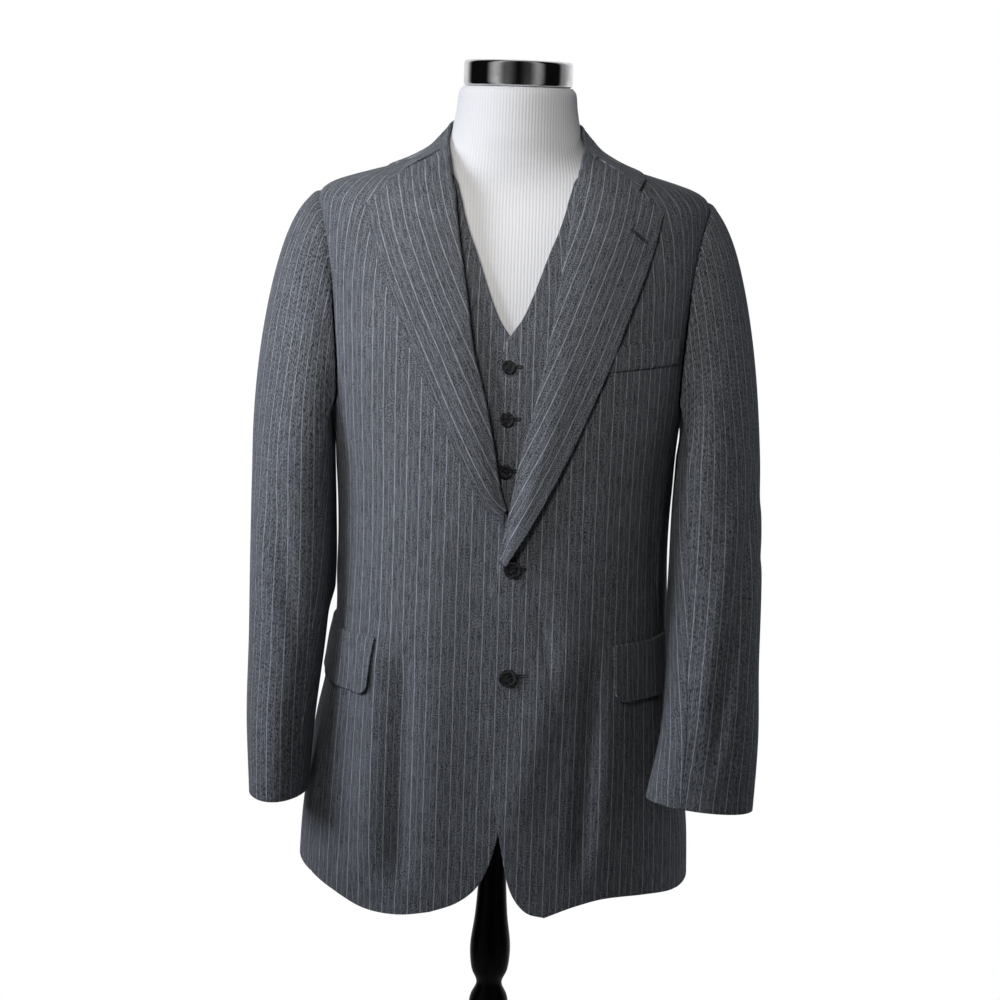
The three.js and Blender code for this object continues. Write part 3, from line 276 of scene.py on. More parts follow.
class Skin:
    """Smooth surface through level superellipse sections.

    Attributes:
        rings: The sections' table.
        sink: How far the cloth drops onto the neck at each height, if it does.
    """

    def __init__(self, rings: Table, sink: Table | None = None) -> None:
        """Prepares the tables of run along the side and of girth."""
        self.rings = rings
        self.sink = sink
        low, high = min(r[0] for r in rings.rows), max(r[0] for r in rings.rows)
        self._z = np.arange(low, high + 0.5, 1.0)
        half = rings.read("half", self._z)
        self._run = low + np.concatenate([[0], np.cumsum(np.hypot(1.0, np.diff(half)))])
        self._angles = np.arange(0.0, 181.0)
        level = self._z[::4]
        angle, height = np.meshgrid(self._angles, level)
        self._levels = level
        self._girths = run_along(self.ring(angle, height), 1)

    def run(self, z: Array) -> Array:
        """Length along the side from the lowest section up to a height."""
        return np.interp(z, self._z, self._run)

    def level(self, run: Array) -> Array:
        """Height at a length along the side."""
        return np.interp(run, self._run, self._z)

    def girth(self, angle: Array, z: Array) -> Array:
        """Length round a level section from the centre front to an angle."""
        row = np.clip((z - self._levels[0]) / 4.0, 0, len(self._levels) - 1.001)
        column = np.clip(np.abs(angle), 0, 179.999)
        i, j = row.astype(int), column.astype(int)
        s, t = row - i, column - j
        g = self._girths
        low = lerp(g[i, j], g[i, j + 1], t)
        high = lerp(g[i + 1, j], g[i + 1, j + 1], t)
        return lerp(low, high, s) * np.sign(angle)

    def ring(self, angle: Array, z: Array) -> Array:
        """Points of the level sections in the directions of angles."""
        square = self.rings.read("square", z)
        side, ahead = np.sin(np.radians(angle)), np.cos(np.radians(angle))
        front, back = self.rings.read("front", z), self.rings.read("back", z)
        depth = np.where(ahead > 0, front, back)
        inverse = np.abs(side / self.rings.read("half", z)) ** square + np.abs(ahead / depth) ** square
        reach = inverse ** (-1 / square)
        return np.stack([reach * side, -reach * ahead, z + 0 * reach], -1)

    def normal(self, angle: Array, z: Array) -> Array:
        """Outward directions of the surface."""
        step = 0.4
        across = self.ring(angle + step, z) - self.ring(angle - step, z)
        up = self.ring(angle, z + step) - self.ring(angle, z - step)
        out = np.cross(across, up)
        return out / np.linalg.norm(out, axis=-1, keepdims=True)

    def point(self, angle: Array, z: Array, height: Array | float = 0.0) -> Array:
        """Points at a height above the surface."""
        lift = np.asarray(height, float)
        if self.sink:
            lift = lift - self.sink.read("drop", z)
        return self.ring(angle, z) + self.normal(angle, z) * lift[..., None]

    def angle_at(self, x: float, z: float) -> float:
        """Angle of the front's point that lies a distance from the centre, seen from the front."""
        half, square, depth = (float(self.rings.read(n, z)) for n in ("half", "square", "front"))
        y = depth * (1 - min(abs(x) / half, 1.0) ** square) ** (1 / square)
        return math.degrees(math.atan2(x, y))

    def domain(self, angle: Array | float, z: Array | float) -> Array:
        """Flat coordinates of places on the surface: millimetres round it and along its side."""
        angle, z = np.broadcast_arrays(np.asarray(angle, float), np.asarray(z, float))
        return np.stack([angle * MM_PER_DEGREE, self.run(z)], -1)

    def front_line(self, rows: Pairs) -> list[Array]:
        """Flat coordinates of points given as distances from the centre and heights."""
        return [self.domain(self.angle_at(x, z), z) for x, z in rows]

    def polar_line(self, rows: Pairs) -> list[Array]:
        """Flat coordinates of points given as angles and heights."""
        return [self.domain(angle, z) for angle, z in rows]


NECK_SINK = Table(("z", "drop"), (
    (1455, 0), (1462, 0), (1466, 0.5), (1470, 1.3), (1475, 2.3), (1480, 3), (1485, 3.3), (1492, 3),
    (1500, 2.3), (1512, 1.5),
))
BODY = Skin(JACKET_RINGS, NECK_SINK)
FORM = Skin(FORM_RINGS)


@dataclass(frozen=True)
class Fold:
    """Soft ridge or trough in the cloth.

    Attributes:
        path: Places that it runs through, as angle and height.
        width: Half width in millimetres.
        depth: Height of the ridge, or depth of the trough when negative.
        fade: Share of its length over which each end fades out.
    """

    path: Pairs
    width: float
    depth: float
    fade: float = 0.35

    def height(self, angle: Array, z: Array, scale: float = MM_PER_DEGREE) -> Array:
        """Its height at places.

        Args:
            angle: Angles of the places.
            z: Heights of the places.
            scale: Millimetres for each degree.

        Returns:
            The heights in millimetres.
        """
        line = through([(a * scale, h) for a, h in self.path], 8)
        start, step = line[:-1], np.diff(line, axis=0)
        length = np.linalg.norm(step, axis=1)
        place = np.stack([angle * scale, z], -1)[..., None, :]
        t = np.clip(np.sum((place - start) * step, -1) / length ** 2, 0, 1)
        away = np.linalg.norm(place - start - t[..., None] * step, axis=-1)
        nearest = np.argmin(away, -1)[..., None]
        passed = np.concatenate([[0], np.cumsum(length)[:-1]])
        share = np.take_along_axis(passed + t * length, nearest, -1)[..., 0] / length.sum()
        distance = np.take_along_axis(away, nearest, -1)[..., 0]
        ends = smoothstep(share, 0, self.fade) * smoothstep(1 - share, 0, self.fade)
        return self.depth * np.exp(-((distance / self.width) ** 2)) * ends


def folded(folds: Iterable[Fold], angle: Array, z: Array, scale: float = MM_PER_DEGREE) -> Array:
    """Sum of the folds' heights at places."""
    total = np.zeros(np.shape(angle))
    for fold in folds:
        total = total + fold.height(angle, z, scale)
    return total


def drift(angle: Array, z: Array, amount: float) -> Array:
    """Slow uneven swell of hanging cloth.

    Args:
        angle: Angles of the places.
        z: Heights of the places.
        amount: Largest height in millimetres.

    Returns:
        The heights.
    """
    a, b = np.radians(angle), z / 100.0
    swell = np.sin(5.3 * a + 1.1 * b + 0.4) + 0.7 * np.sin(8.9 * a - 1.7 * b + 2.1)
    swell = swell + 0.6 * np.sin(13.7 * a + 2.9 * b + 4.0) + 0.4 * np.sin(3.1 * b + 1.3)
    return amount * swell / 2.7


# ---- meshes


def activate(obj: Object) -> Object:
    """Makes an object the only selected one, and the active one."""
    bpy.ops.object.select_all(action="DESELECT")
    obj.select_set(True)
    bpy.context.view_layer.objects.active = obj
    return obj


def link_new(name: str, data: ID) -> Object:
    """Shows data in the scene as a new object."""
    obj = bpy.data.objects.new(name, data)
    bpy.context.collection.objects.link(obj)
    return obj


def copy_of(model: Object) -> Object:
    """Copy of an object with its own mesh."""
    return link_new(model.name, model.data.copy())


def lay_map(mesh: Mesh, at_vertex: Array) -> None:
    """Gives a mesh its cloth map.

    Args:
        mesh: The mesh.
        at_vertex: Millimetres across and along at each vertex.
    """
    layer = mesh.uv_layers.get(UV_NAME) or mesh.uv_layers.new(name=UV_NAME)
    layer.active = True
    corners = np.empty(len(mesh.loops), int)
    mesh.loops.foreach_get("vertex_index", corners)
    layer.data.foreach_set("uv", (at_vertex / UV_UNIT)[corners].ravel())


def apply_modifier(obj: Object, kind: str, **settings: object) -> None:
    """Adds a modifier and applies it.

    Args:
        obj: The object.
        kind: The modifier's type.
        **settings: Its properties.
    """
    modifier = obj.modifiers.new(kind.lower(), kind)
    for key, value in settings.items():
        setattr(modifier, key, value)
    activate(obj)
    bpy.ops.object.modifier_apply(modifier=modifier.name)


def border_of(rows: int, columns: int) -> list[tuple[int, int]]:
    """Places round a grid's border, in order."""
    return (
        [(0, j) for j in range(columns)]
        + [(i, columns - 1) for i in range(1, rows)]
        + [(rows - 1, j) for j in range(columns - 2, -1, -1)]
        + [(i, 0) for i in range(rows - 2, 0, -1)]
    )


@dataclass
class ClothGrid:
    """A cut piece of cloth as matching grids of points, in millimetres.

    Attributes:
        outer: Points of the right side.
        inner: Points of the wrong side.
        across: Millimetres across the stripes at each point.
        along: Millimetres along the stripes at each point.
    """

    outer: Array
    inner: Array
    across: Array
    along: Array

    def mirrored(self, side: Side) -> "ClothGrid":
        """The same piece on a side of the body."""
        sign = np.array([side.value, 1.0, 1.0])
        return ClothGrid(self.outer * sign, self.inner * sign, self.across * side.value, self.along)

    def to_object(self, name: str) -> Object:
        """Closed wall with a rounded edge.

        Args:
            name: The object's name.

        Returns:
            The object, with its cloth map.
        """
        rows, columns = self.outer.shape[:2]
        count = rows * columns
        border = border_of(rows, columns)
        middle = []
        for i, j in border:
            inside = self.outer[min(max(i, 1), rows - 2), min(max(j, 1), columns - 2)]
            away = self.outer[i, j] - inside
            away = away / max(np.linalg.norm(away), 1e-6)
            thick = np.linalg.norm(self.outer[i, j] - self.inner[i, j])
            middle.append((self.outer[i, j] + self.inner[i, j]) / 2 + away * thick * EDGE_ROUND)
        points = np.vstack([self.outer.reshape(-1, 3), self.inner.reshape(-1, 3), np.array(middle)])
        i, j = np.meshgrid(np.arange(rows - 1), np.arange(columns - 1), indexing="ij")
        a = (i * columns + j).ravel()
        face = np.stack([a, a + 1, a + columns + 1, a + columns], 1)
        edge = np.array([r * columns + c for r, c in border])
        following = np.roll(edge, -1)
        rim = 2 * count + np.arange(len(border))
        rim_next = np.roll(rim, -1)
        quads = np.vstack([
            face,
            face[:, ::-1] + count,
            np.stack([edge, rim, rim_next, following], 1),
            np.stack([rim, edge + count, following + count, rim_next], 1),
        ])
        centre = points.mean(0)
        corner = points[quads]
        facing = np.cross(corner[:, 2] - corner[:, 0], corner[:, 3] - corner[:, 1])
        volume = np.sum((corner.mean(1) - centre) * facing)
        if volume < 0:
            quads = quads[:, ::-1]
        mesh = bpy.data.meshes.new(name)
        mesh.from_pydata((points * MM).tolist(), [], quads.tolist())
        flat = np.stack([self.across.ravel(), self.along.ravel()], 1)
        lay_map(mesh, np.vstack([flat, flat, flat[edge]]))
        mesh.update()
        obj = activate(link_new(name, mesh))
        bpy.ops.object.shade_smooth_by_angle(angle=math.radians(CLOTH_CREASE))
        return obj


def grid_normals(points: Array, wrap: bool = False) -> Array:
    """Directions square to a grid of points.

    Args:
        points: The grid.
        wrap: Whether its rows close on themselves.

    Returns:
        Unit directions, along-the-rows crossed with along-the-columns.
    """
    if wrap:
        across = np.roll(points, -1, 1) - np.roll(points, 1, 1)
    else:
        across = np.gradient(points, axis=1)
    down = np.gradient(points, axis=0)
    out = np.cross(across, down)
    return out / np.maximum(np.linalg.norm(out, axis=-1, keepdims=True), 1e-9)


@dataclass(frozen=True)
class Borders:
    """Four lines round a panel, in flat coordinates; u runs across and v runs up."""

    bottom: Line
    top: Line
    inner: Line
    outer: Line

    def patch(self, skin: Skin, u: Array, v: Array) -> tuple[Array, Array]:
        """Places inside the lines.

        Args:
            skin: The surface that they lie on.
            u: Shares across.
            v: Shares up.

        Returns:
            Angles and heights, as grids with a row for each v.
        """
        bottom, top = self.bottom(u)[None], self.top(u)[None]
        inner, outer = self.inner(v)[:, None], self.outer(v)[:, None]
        s, t = u[None, :, None], v[:, None, None]
        ends = np.array([0.0, 1.0])
        low, high = self.bottom(ends), self.top(ends)
        corners = lerp(lerp(low[0], low[1], s), lerp(high[0], high[1], s), t)
        flat = lerp(inner, outer, s) + lerp(bottom, top, t) - corners
        return flat[..., 0] / MM_PER_DEGREE, skin.level(flat[..., 1])


def seam_dip(points: Array, sides: str, depth: float = 0.7, width: float = 1.6) -> Array:
    """How far cloth turns in towards the seams at its borders.

    Args:
        points: The panel's grid.
        sides: Letters of the sewn borders: l and r for the first and last column, b and t for the
            first and last row.
        depth: Depth at the border.
        width: Distance over which it fades.

    Returns:
        Heights, negative near the seams.
    """
    total = np.zeros(points.shape[:2])
    for letter, axis in (("l", 1), ("r", 1), ("b", 0), ("t", 0)):
        if letter in sides:
            run = run_along(points, axis)
            if letter in "rt":
                run = (run[:, -1:] if axis else run[-1:, :]) - run
            total -= depth * np.exp(-((run / width) ** 2))
    return total


# ---- finishes


def colour(code: str) -> tuple[float, float, float, float]:
    """Shader colour of an sRGB hex code."""
    parts = [int(code[k:k + 2], 16) / 255 for k in (1, 3, 5)]
    linear = [c / 12.92 if c <= 0.04045 else ((c + 0.055) / 1.055) ** 2.4 for c in parts]
    return (*linear, 1.0)


class Node(Enum):
    """Shader nodes used here.

    Each value holds the node's type, its inputs in the order that add_node takes them, its settings,
    and the output that is wanted of it.
    """

    PLACE = ("TexCoord", (), {}, "Object")
    WAY = ("TexCoord", (), {}, "Generated")
    CLOTH_MAP = ("UVMap", (), {"uv_map": UV_NAME}, 0)
    AXES = ("SeparateXYZ", (0,), {}, 0)
    STRETCH = ("VectorMath", (0, 1), {"operation": "MULTIPLY"}, 0)
    PLUS = ("Math", (0, 1), {"operation": "ADD"}, 0)
    MINUS = ("Math", (0, 1), {"operation": "SUBTRACT"}, 0)
    TIMES = ("Math", (0, 1), {"operation": "MULTIPLY"}, 0)
    SWING = ("Math", (0, 1), {"operation": "PINGPONG"}, 0)
    BEARING = ("Math", (0, 1), {"operation": "ARCTAN2"}, 0)
    NOISE = ("TexNoise", ("Vector", "Scale", "Detail", "Roughness"), {}, 0)
    SHARE = ("MapRange", ("Value", "From Min", "From Max"), {}, 0)
    RISE = (
        "MapRange", ("Value", "From Min", "From Max", "To Min", "To Max"),
        {"interpolation_type": "SMOOTHSTEP"}, 0,
    )
    GREY = ("CombineColor", (0, 1, 2), {}, 0)
    MIX = ("Mix", (0, 6, 7), {"data_type": "RGBA"}, 2)
    SHADE = ("Mix", (0, 6, 7), {"data_type": "RGBA", "blend_type": "MULTIPLY"}, 2)
    BUMP = ("Bump", ("Height", "Strength", "Distance"), {}, 0)
    STOPS = ("ValToRGB", (0,), {}, 0)
    RAYS = ("LightPath", (), {}, 0)
    LIGHT = ("Background", ("Color", "Strength"), {}, 0)
    EITHER = ("MixShader", (0, 1, 2), {}, 0)


def add_node(tree: NodeTree, node: Node, *values: object) -> NodeSocket:
    """Adds a shader node with its settings and links.

    Args:
        tree: The node tree.
        node: Which node.
        *values: What its inputs take, in order: numbers, colours or output sockets.

    Returns:
        The output that is wanted of it.
    """
    kind, inputs, settings, output = node.value
    made = tree.nodes.new("ShaderNode" + kind)
    for key, value in settings.items():
        setattr(made, key, value)
    for key, value in zip(inputs, values):
        if isinstance(value, NodeSocket):
            tree.links.new(value, made.inputs[key])
        else:
            made.inputs[key].default_value = value
    return made.outputs[output]


class Look:
    """A material under construction: its tree and its shader."""

    def __init__(self, name: str) -> None:
        """Starts the material with an empty principled shader."""
        self.material = bpy.data.materials.new(name)
        self.material.use_nodes = True
        self.tree = self.material.node_tree
        self.shader = next(n for n in self.tree.nodes if n.type == "BSDF_PRINCIPLED")

    def add(self, node: Node, *values: object) -> NodeSocket:
        """Adds a node to the material."""
        return add_node(self.tree, node, *values)

    def finish(self, base: NodeSocket, **others: object) -> Material:
        """Sets the shader's colour and its other inputs, whose names have _ for a space."""
        for key, value in {"Base_Color": base, **others}.items():
            socket = self.shader.inputs[key.replace("_", " ")]
            if isinstance(value, NodeSocket):
                self.tree.links.new(value, socket)
            else:
                socket.default_value = value
        return self.material


@dataclass(frozen=True)
class Suiting:
    """Grey worsted with a chalky pinstripe: mixed light and dark yarns that read as fine grain.

    Attributes:
        dark: Colour of the dark yarns.
        light: Colour of the light yarns.
        stripe: Colour of the stripe's yarn.
        pitch: Distance between main stripes; a fainter one runs midway.
        grain: Size of the mixture's grain, coarser than real yarns so that it shows.
    """

    dark: str = "#060607"
    light: str = "#888b91"
    stripe: str = "#b4b9c1"
    pitch: float = 14.0
    grain: float = 1.15

    def material(self, name: str = "grey_pinstripe_worsted") -> Material:
        """Cloth in millimetres of its own map: grain, vertical slubs, stripes and a fine twill.

        Args:
            name: The material's name.

        Returns:
            The material.
        """
        look = Look(name)
        place = look.add(Node.STRETCH, look.add(Node.CLOTH_MAP), (UV_UNIT, UV_UNIT, 0))
        axes = look.add(Node.AXES, place).node.outputs
        # Yarns lie a little unevenly, so each stripe wanders by a fraction of a millimetre.
        uneven = look.add(Node.MINUS, look.add(Node.NOISE, place, 0.02), 0.5)
        across = look.add(Node.PLUS, axes[0], look.add(Node.TIMES, uneven, 1.1))
        swing = look.add(Node.SWING, across, self.pitch / 2)
        rubbed = look.add(Node.NOISE, look.add(Node.STRETCH, place, (1, 0.35, 1)), 0.55, 1)
        worn = look.add(Node.RISE, rubbed, 0.3, 0.62, 0.4)
        main = look.add(Node.TIMES, look.add(Node.RISE, swing, 0.2, 0.62, 1.0, 0.0), worn)
        midway = look.add(Node.RISE, swing, self.pitch / 2 - 0.7, self.pitch / 2 - 0.2)
        faint = look.add(Node.TIMES, midway, worn)
        grain = look.add(Node.RISE, look.add(Node.NOISE, place, 1 / self.grain, 1, 0.6), 0.42, 0.6)
        slubs = look.add(Node.NOISE, look.add(Node.STRETCH, place, (1, 0.09, 1)), 0.62, 2, 0.6)
        slub = look.add(Node.RISE, slubs, 0.34, 0.66)
        yarn = look.add(Node.PLUS, look.add(Node.TIMES, grain, 0.76), look.add(Node.TIMES, slub, 0.24))
        swell = look.add(Node.RISE, look.add(Node.NOISE, place, 0.012, 1), 0.3, 0.7, 0.96, 1.04)
        base = look.add(Node.MIX, yarn, colour(self.dark), colour(self.light))
        base = look.add(Node.MIX, look.add(Node.TIMES, faint, 0.26), base, colour(self.stripe))
        base = look.add(Node.MIX, look.add(Node.TIMES, main, 0.8), base, colour(self.stripe))
        base = look.add(Node.SHADE, 1.0, base, look.add(Node.GREY, swell, swell, swell))
        # Twill lines are about 1 mm apart, which is just wide enough to be seen close up.
        diagonal = look.add(Node.SWING, look.add(Node.PLUS, axes[0], axes[1]), 0.55)
        twill = look.add(Node.TIMES, look.add(Node.RISE, diagonal, 0.0, 0.55), 0.5)
        height = look.add(Node.PLUS, look.add(Node.PLUS, grain, twill), main)
        return look.finish(
            base, Normal=look.add(Node.BUMP, height, 0.22, 0.0003), Roughness=0.86,
            Specular_IOR_Level=0.1, Sheen_Weight=0.1, Sheen_Roughness=0.4, Sheen_Tint=colour("#c9d0da"),
        )


@dataclass(frozen=True)
class Ribbed:
    """White rib-knit cover: soft vertical ribs with faint stitches across them, painted shade in the grooves
    between the ribs and a painted grey shade round the top of the neck.
    """

    face: str = "#fafafa"
    # Painted shade: colour of the grooves between the ribs, darker than the rib faces.
    groove: str = "#eeeef0"
    # Painted shade laid over the top of the neck.
    neck: str = "#b0b0b2"
    pitch: float = 3.4

    def material(self, name: str = "white_rib_knit") -> Material:
        """Ribs in millimetres of the cover's own map.

        Args:
            name: The material's name.

        Returns:
            The material.
        """
        look = Look(name)
        place = look.add(Node.STRETCH, look.add(Node.CLOTH_MAP), (UV_UNIT, UV_UNIT, 0))
        axes = look.add(Node.AXES, place).node.outputs
        wander = look.add(Node.TIMES, look.add(Node.NOISE, place, 0.03), 1.6)
        swing = look.add(Node.SWING, look.add(Node.PLUS, axes[0], wander), self.pitch / 2)
        rib = look.add(Node.RISE, swing, 0.2, 1.3)
        stitch = look.add(Node.RISE, look.add(Node.SWING, axes[1], 1.1), 0.0, 1.1)
        fuzz = look.add(Node.NOISE, place, 0.9, 3, 0.7)
        fine = look.add(Node.TIMES, look.add(Node.PLUS, stitch, fuzz), 0.25)
        bump = look.add(Node.BUMP, look.add(Node.PLUS, rib, fine), 0.28, 0.0005)
        # Painted shade: the tone darkens from the rib faces into the grooves.
        tone = look.add(Node.PLUS, look.add(Node.TIMES, rib, 0.75), look.add(Node.TIMES, fuzz, 0.25))
        base = look.add(Node.MIX, tone, colour(self.groove), colour(self.face))
        # Painted shade: the top of the neck is drawn a little greyer than the rest of the knit, standing in
        # for how the light falls off there.
        up = look.add(Node.AXES, look.add(Node.PLACE)).node.outputs[2]
        base = look.add(Node.MIX, look.add(Node.RISE, up, 1.40, 1.47, 0.0, 0.3), base, colour(self.neck))
        return look.finish(
            base, Normal=bump, Roughness=0.9, Sheen_Weight=0.15, Specular_IOR_Level=0.2
        )


@dataclass(frozen=True)
class Polished:
    """Polished chrome plate: a clear mirror with hairline wiping marks and slight clouding."""

    bright: str = "#dcdcde"
    cloud: str = "#c3c3c6"

    def material(self, name: str = "polished_chrome") -> Material:
        """Fine marks run round the cap, about a millimetre apart.

        Args:
            name: The material's name.

        Returns:
            The material.
        """
        look = Look(name)
        place = look.add(Node.PLACE)
        marks = look.add(Node.NOISE, look.add(Node.STRETCH, place, (30, 30, 900)), 1.0, 2)
        cloud = look.add(Node.NOISE, place, 60, 2)
        clouded = look.add(Node.RISE, cloud, 0.35, 0.7)
        base = look.add(Node.MIX, clouded, colour(self.bright), colour(self.cloud))
        bump = look.add(Node.BUMP, marks, 0.02, 0.0002)
        rough = look.add(Node.RISE, cloud, 0.3, 0.8, 0.045, 0.1)
        return look.finish(base, Normal=bump, Metallic=1.0, Roughness=rough)


@dataclass(frozen=True)
class Lacquered:
    """Near-black stained beech under satin lacquer: faint long grain and small pores."""

    dark: str = "#060505"
    warm: str = "#120e0d"

    def material(self, name: str = "black_lacquered_wood") -> Material:
        """Grain runs up the post, some 3 mm wide and about eight times as long.

        Args:
            name: The material's name.

        Returns:
            The material.
        """
        look = Look(name)
        place = look.add(Node.PLACE)
        grain = look.add(Node.NOISE, look.add(Node.STRETCH, place, (1, 1, 0.12)), 300, 3, 0.6)
        pits = look.add(Node.NOISE, look.add(Node.STRETCH, place, (1, 1, 0.2)), 900, 1)
        pores = look.add(Node.RISE, pits, 0.62, 0.7)
        figure = look.add(Node.RISE, grain, 0.35, 0.7)
        base = look.add(Node.MIX, figure, colour(self.dark), colour(self.warm))
        bump = look.add(Node.BUMP, look.add(Node.MINUS, grain, pores), 0.15, 0.0003)
        rough = look.add(Node.RISE, grain, 0.3, 0.7, 0.28, 0.42)
        return look.finish(base, Normal=bump, Roughness=rough, Specular_IOR_Level=0.05)


@dataclass(frozen=True)
class Horn:
    """Dark moulded horn: brown-black with soft cloudy streaks and a dull polish."""

    dark: str = "#1b1c1e"
    streak: str = "#4c4a49"

    def material(self, name: str = "dark_horn") -> Material:
        """Streaks are about 4 mm across, a few to each button.

        Args:
            name: The material's name.

        Returns:
            The material.
        """
        look = Look(name)
        place = look.add(Node.PLACE)
        warp = look.add(Node.NOISE, look.add(Node.STRETCH, place, (1, 1, 2.5)), 240, 3, 0.6)
        streaks = look.add(Node.RISE, warp, 0.45, 0.75)
        base = look.add(Node.MIX, streaks, colour(self.dark), colour(self.streak))
        bump = look.add(Node.BUMP, look.add(Node.NOISE, place, 1500, 2), 0.05, 0.0002)
        rough = look.add(Node.RISE, warp, 0.3, 0.7, 0.24, 0.38)
        return look.finish(base, Normal=bump, Roughness=rough, Coat_Weight=0.2)


@dataclass(frozen=True)
class Twist:
    """Dark buttonhole twist: tight stitches side by side."""

    dark: str = "#17181a"
    light: str = "#3d4045"

    def material(self, name: str = "dark_buttonhole_twist") -> Material:
        """Stitches are drawn 0.7 mm wide, about twice the real thread, so that they show.

        Args:
            name: The material's name.

        Returns:
            The material.
        """
        look = Look(name)
        place = look.add(Node.STRETCH, look.add(Node.PLACE), (1, 1, 0.4))
        strands = look.add(Node.NOISE, place, 1400, 1)
        split = look.add(Node.RISE, strands, 0.4, 0.6)
        base = look.add(Node.MIX, split, colour(self.dark), colour(self.light))
        bump = look.add(Node.BUMP, strands, 0.6, 0.0004)
        return look.finish(base, Normal=bump, Roughness=0.8, Sheen_Weight=0.1)


# ---- pieces


@dataclass
class Piece:
    """A finished piece.

    Attributes:
        obj: Its object.
        slot: Name of its material slot.
        node: The CAD node that it stands for, if any.
    """

    obj: Object
    slot: str
    node: str | None = None

    def settle(self, material: Material) -> None:
        """Gives the piece its material and its place in the frame."""
        self.obj.data.materials.clear()
        self.obj.data.materials.append(material)
        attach(self.obj, "root")
        if self.node:
            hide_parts(self.node)
        LOG.info("%s: %d faces", self.obj.name, len(self.obj.data.polygons))


def settle_all(pieces: Iterable[Piece], material: Material) -> None:
    """Gives pieces one material and their places in the frame."""
    for piece in pieces:
        piece.settle(material)


@dataclass(frozen=True)
class Flat:
    """Size that a piece of cloth was cut to, in metres, and its real area in square metres."""

    width: float
    length: float
    area: float


def sew(
    grid: ClothGrid, side: Side | None, name: str
) -> Piece:
    """Args:
        grid: Its points for the left side.
        side: The side that it belongs to, or none for a piece on both.
        name: Name of the CAD node that it stands for.

    Returns:
        The piece.
    """
    shown = grid.mirrored(side) if side else grid
    obj = shown.to_object("cloth_" + name)
    return Piece(obj, "suit_cloth", name)


LEAN = 20  # degrees by which the stripes lean in at the side of the neck
LEAN_HEIGHTS = (1425, 1474)  # between which the lean grows
STEADY_FROM = 1300  # height from which the stripes are counted round nearly the same girth
STEADY_OVER = 40  # millimetres over which that girth settles


def body_across(angle: Array, z: Array, face: Face) -> Array:
    """Millimetres across the stripes of a body panel.

    The stripes hang plumb and lean in towards the neck over the shoulder.

    Args:
        angle: Angles of the places.
        z: Heights of the places.
        face: Where the stripes are counted from.

    Returns:
        The distances.
    """
    over = np.maximum(z - STEADY_FROM, 0)
    level = np.minimum(z, STEADY_FROM) + STEADY_OVER * (1 - np.exp(-over / STEADY_OVER))
    if face is Face.SIDE:
        return BODY.girth(angle, level) - BODY.girth(face.value + 0 * angle, level)
    away = angle if face is Face.FRONT else 180 - angle
    lean = LEAN * smoothstep(z, *LEAN_HEIGHTS) * (np.clip(away, 0, 90) / 90) ** 1.5
    if face is Face.FRONT:
        return BODY.girth(angle - lean, level)
    return BODY.girth(180 + 0 * angle, level) - BODY.girth(angle + lean, level)


def on_front(*rows: Pair) -> Pairs:
    """Angles and heights of points given as distances from the centre front and heights."""
    return tuple((BODY.angle_at(x, z), z) for x, z in rows)


def cloth_panel(
    borders: Borders, u: Array, v: Array, height: Callable[..., Array], face: Face, sewn: str,
) -> ClothGrid:
    """Panel of cloth on the body.

    Args:
        borders: Its outline.
        u: Shares across.
        v: Shares up.
        height: Gives its right side's height from u, v, angle and z.
        face: Where its stripes are counted from.
        sewn: Letters of its sewn borders, as seam_dip takes them.

    Returns:
        The panel's grid.
    """
    angle, z = borders.patch(BODY, u, v)
    s, t = np.meshgrid(u, v)
    lift = height(s, t, angle, z)
    lift = lift + seam_dip(BODY.ring(angle, z), sewn)
    outer, inner = BODY.point(angle, z, lift), BODY.point(angle, z, lift - CLOTH)
    return ClothGrid(inset(outer), inset(inner), body_across(angle, z, face), BODY.run(z))


def inset(points: Array, gap: float = SEAM_GAP / 2) -> Array:
    """Moves a grid's border towards its middle by half the gap between two pieces.

    Args:
        points: The grid.
        gap: How far it moves.

    Returns:
        The new grid.
    """
    moved = points.copy()
    ends = [
        (np.s_[0], np.s_[1]), (np.s_[-1], np.s_[-2]),
        (np.s_[:, 0], np.s_[:, 1]), (np.s_[:, -1], np.s_[:, -2]),
    ]
    for here, beside in ends:
        way = points[beside] - points[here]
        length = np.linalg.norm(way, axis=-1, keepdims=True)
        moved[here] += way / np.maximum(length, 1e-9) * np.minimum(gap, length * 0.8)
    return moved


# ---- the blazer's lines

HEM_COLUMNS = ("angle", "z")
LINE_COLUMNS = ("t", "angle", "z")
NOTCH = (61, 1428.9)  # angle and height where the lapel leaves the collar
GORGE_TOP = (62, 1470)
COLLAR = {
    "seam": Table(LINE_COLUMNS, (
        (0, 180, 1471), (0.25, 136, 1470), (0.5, 90, 1468), (0.78, 74, 1468), (1, 63, 1468.5),
    )),
    "fold": Table(LINE_COLUMNS, (
        (0, 180, 1504), (0.25, 136, 1500), (0.5, 91, 1491.5), (0.78, 75, 1481.5), (1, 62, 1471.5),
    )),
    "body": Table(LINE_COLUMNS, (
        (0, 180, 1463), (0.25, 137, 1461), (0.5, 91, 1458.5), (0.78, 70, 1446), (1, 61, 1430.6),
    )),
    "edge": Table(LINE_COLUMNS, (
        (0, 180, 1458), (0.25, 137, 1455), (0.5, 90, 1455), (0.78, 75, 1445.5), (1, 66.2, 1437.8),
    )),
}
ARMHOLE_FRONT = (
    (75, 1211), (73.8, 1250), (74.6, 1287), (76.3, 1325), (79, 1361), (83.2, 1394), (90, 1421),
)
ARMHOLE_BACK = ((108, 1218), (109, 1262), (107.5, 1310), (104, 1352), (98, 1392), (90, 1421))
ARMHOLE_UNDER = ((75, 1211), (82, 1198), (91, 1194), (100, 1199), (108, 1218))
ARMHOLE_CENTRE = (90, 1300)
FRONT_SEAM_ANGLE = 71
BACK_SEAM_ANGLE = 112
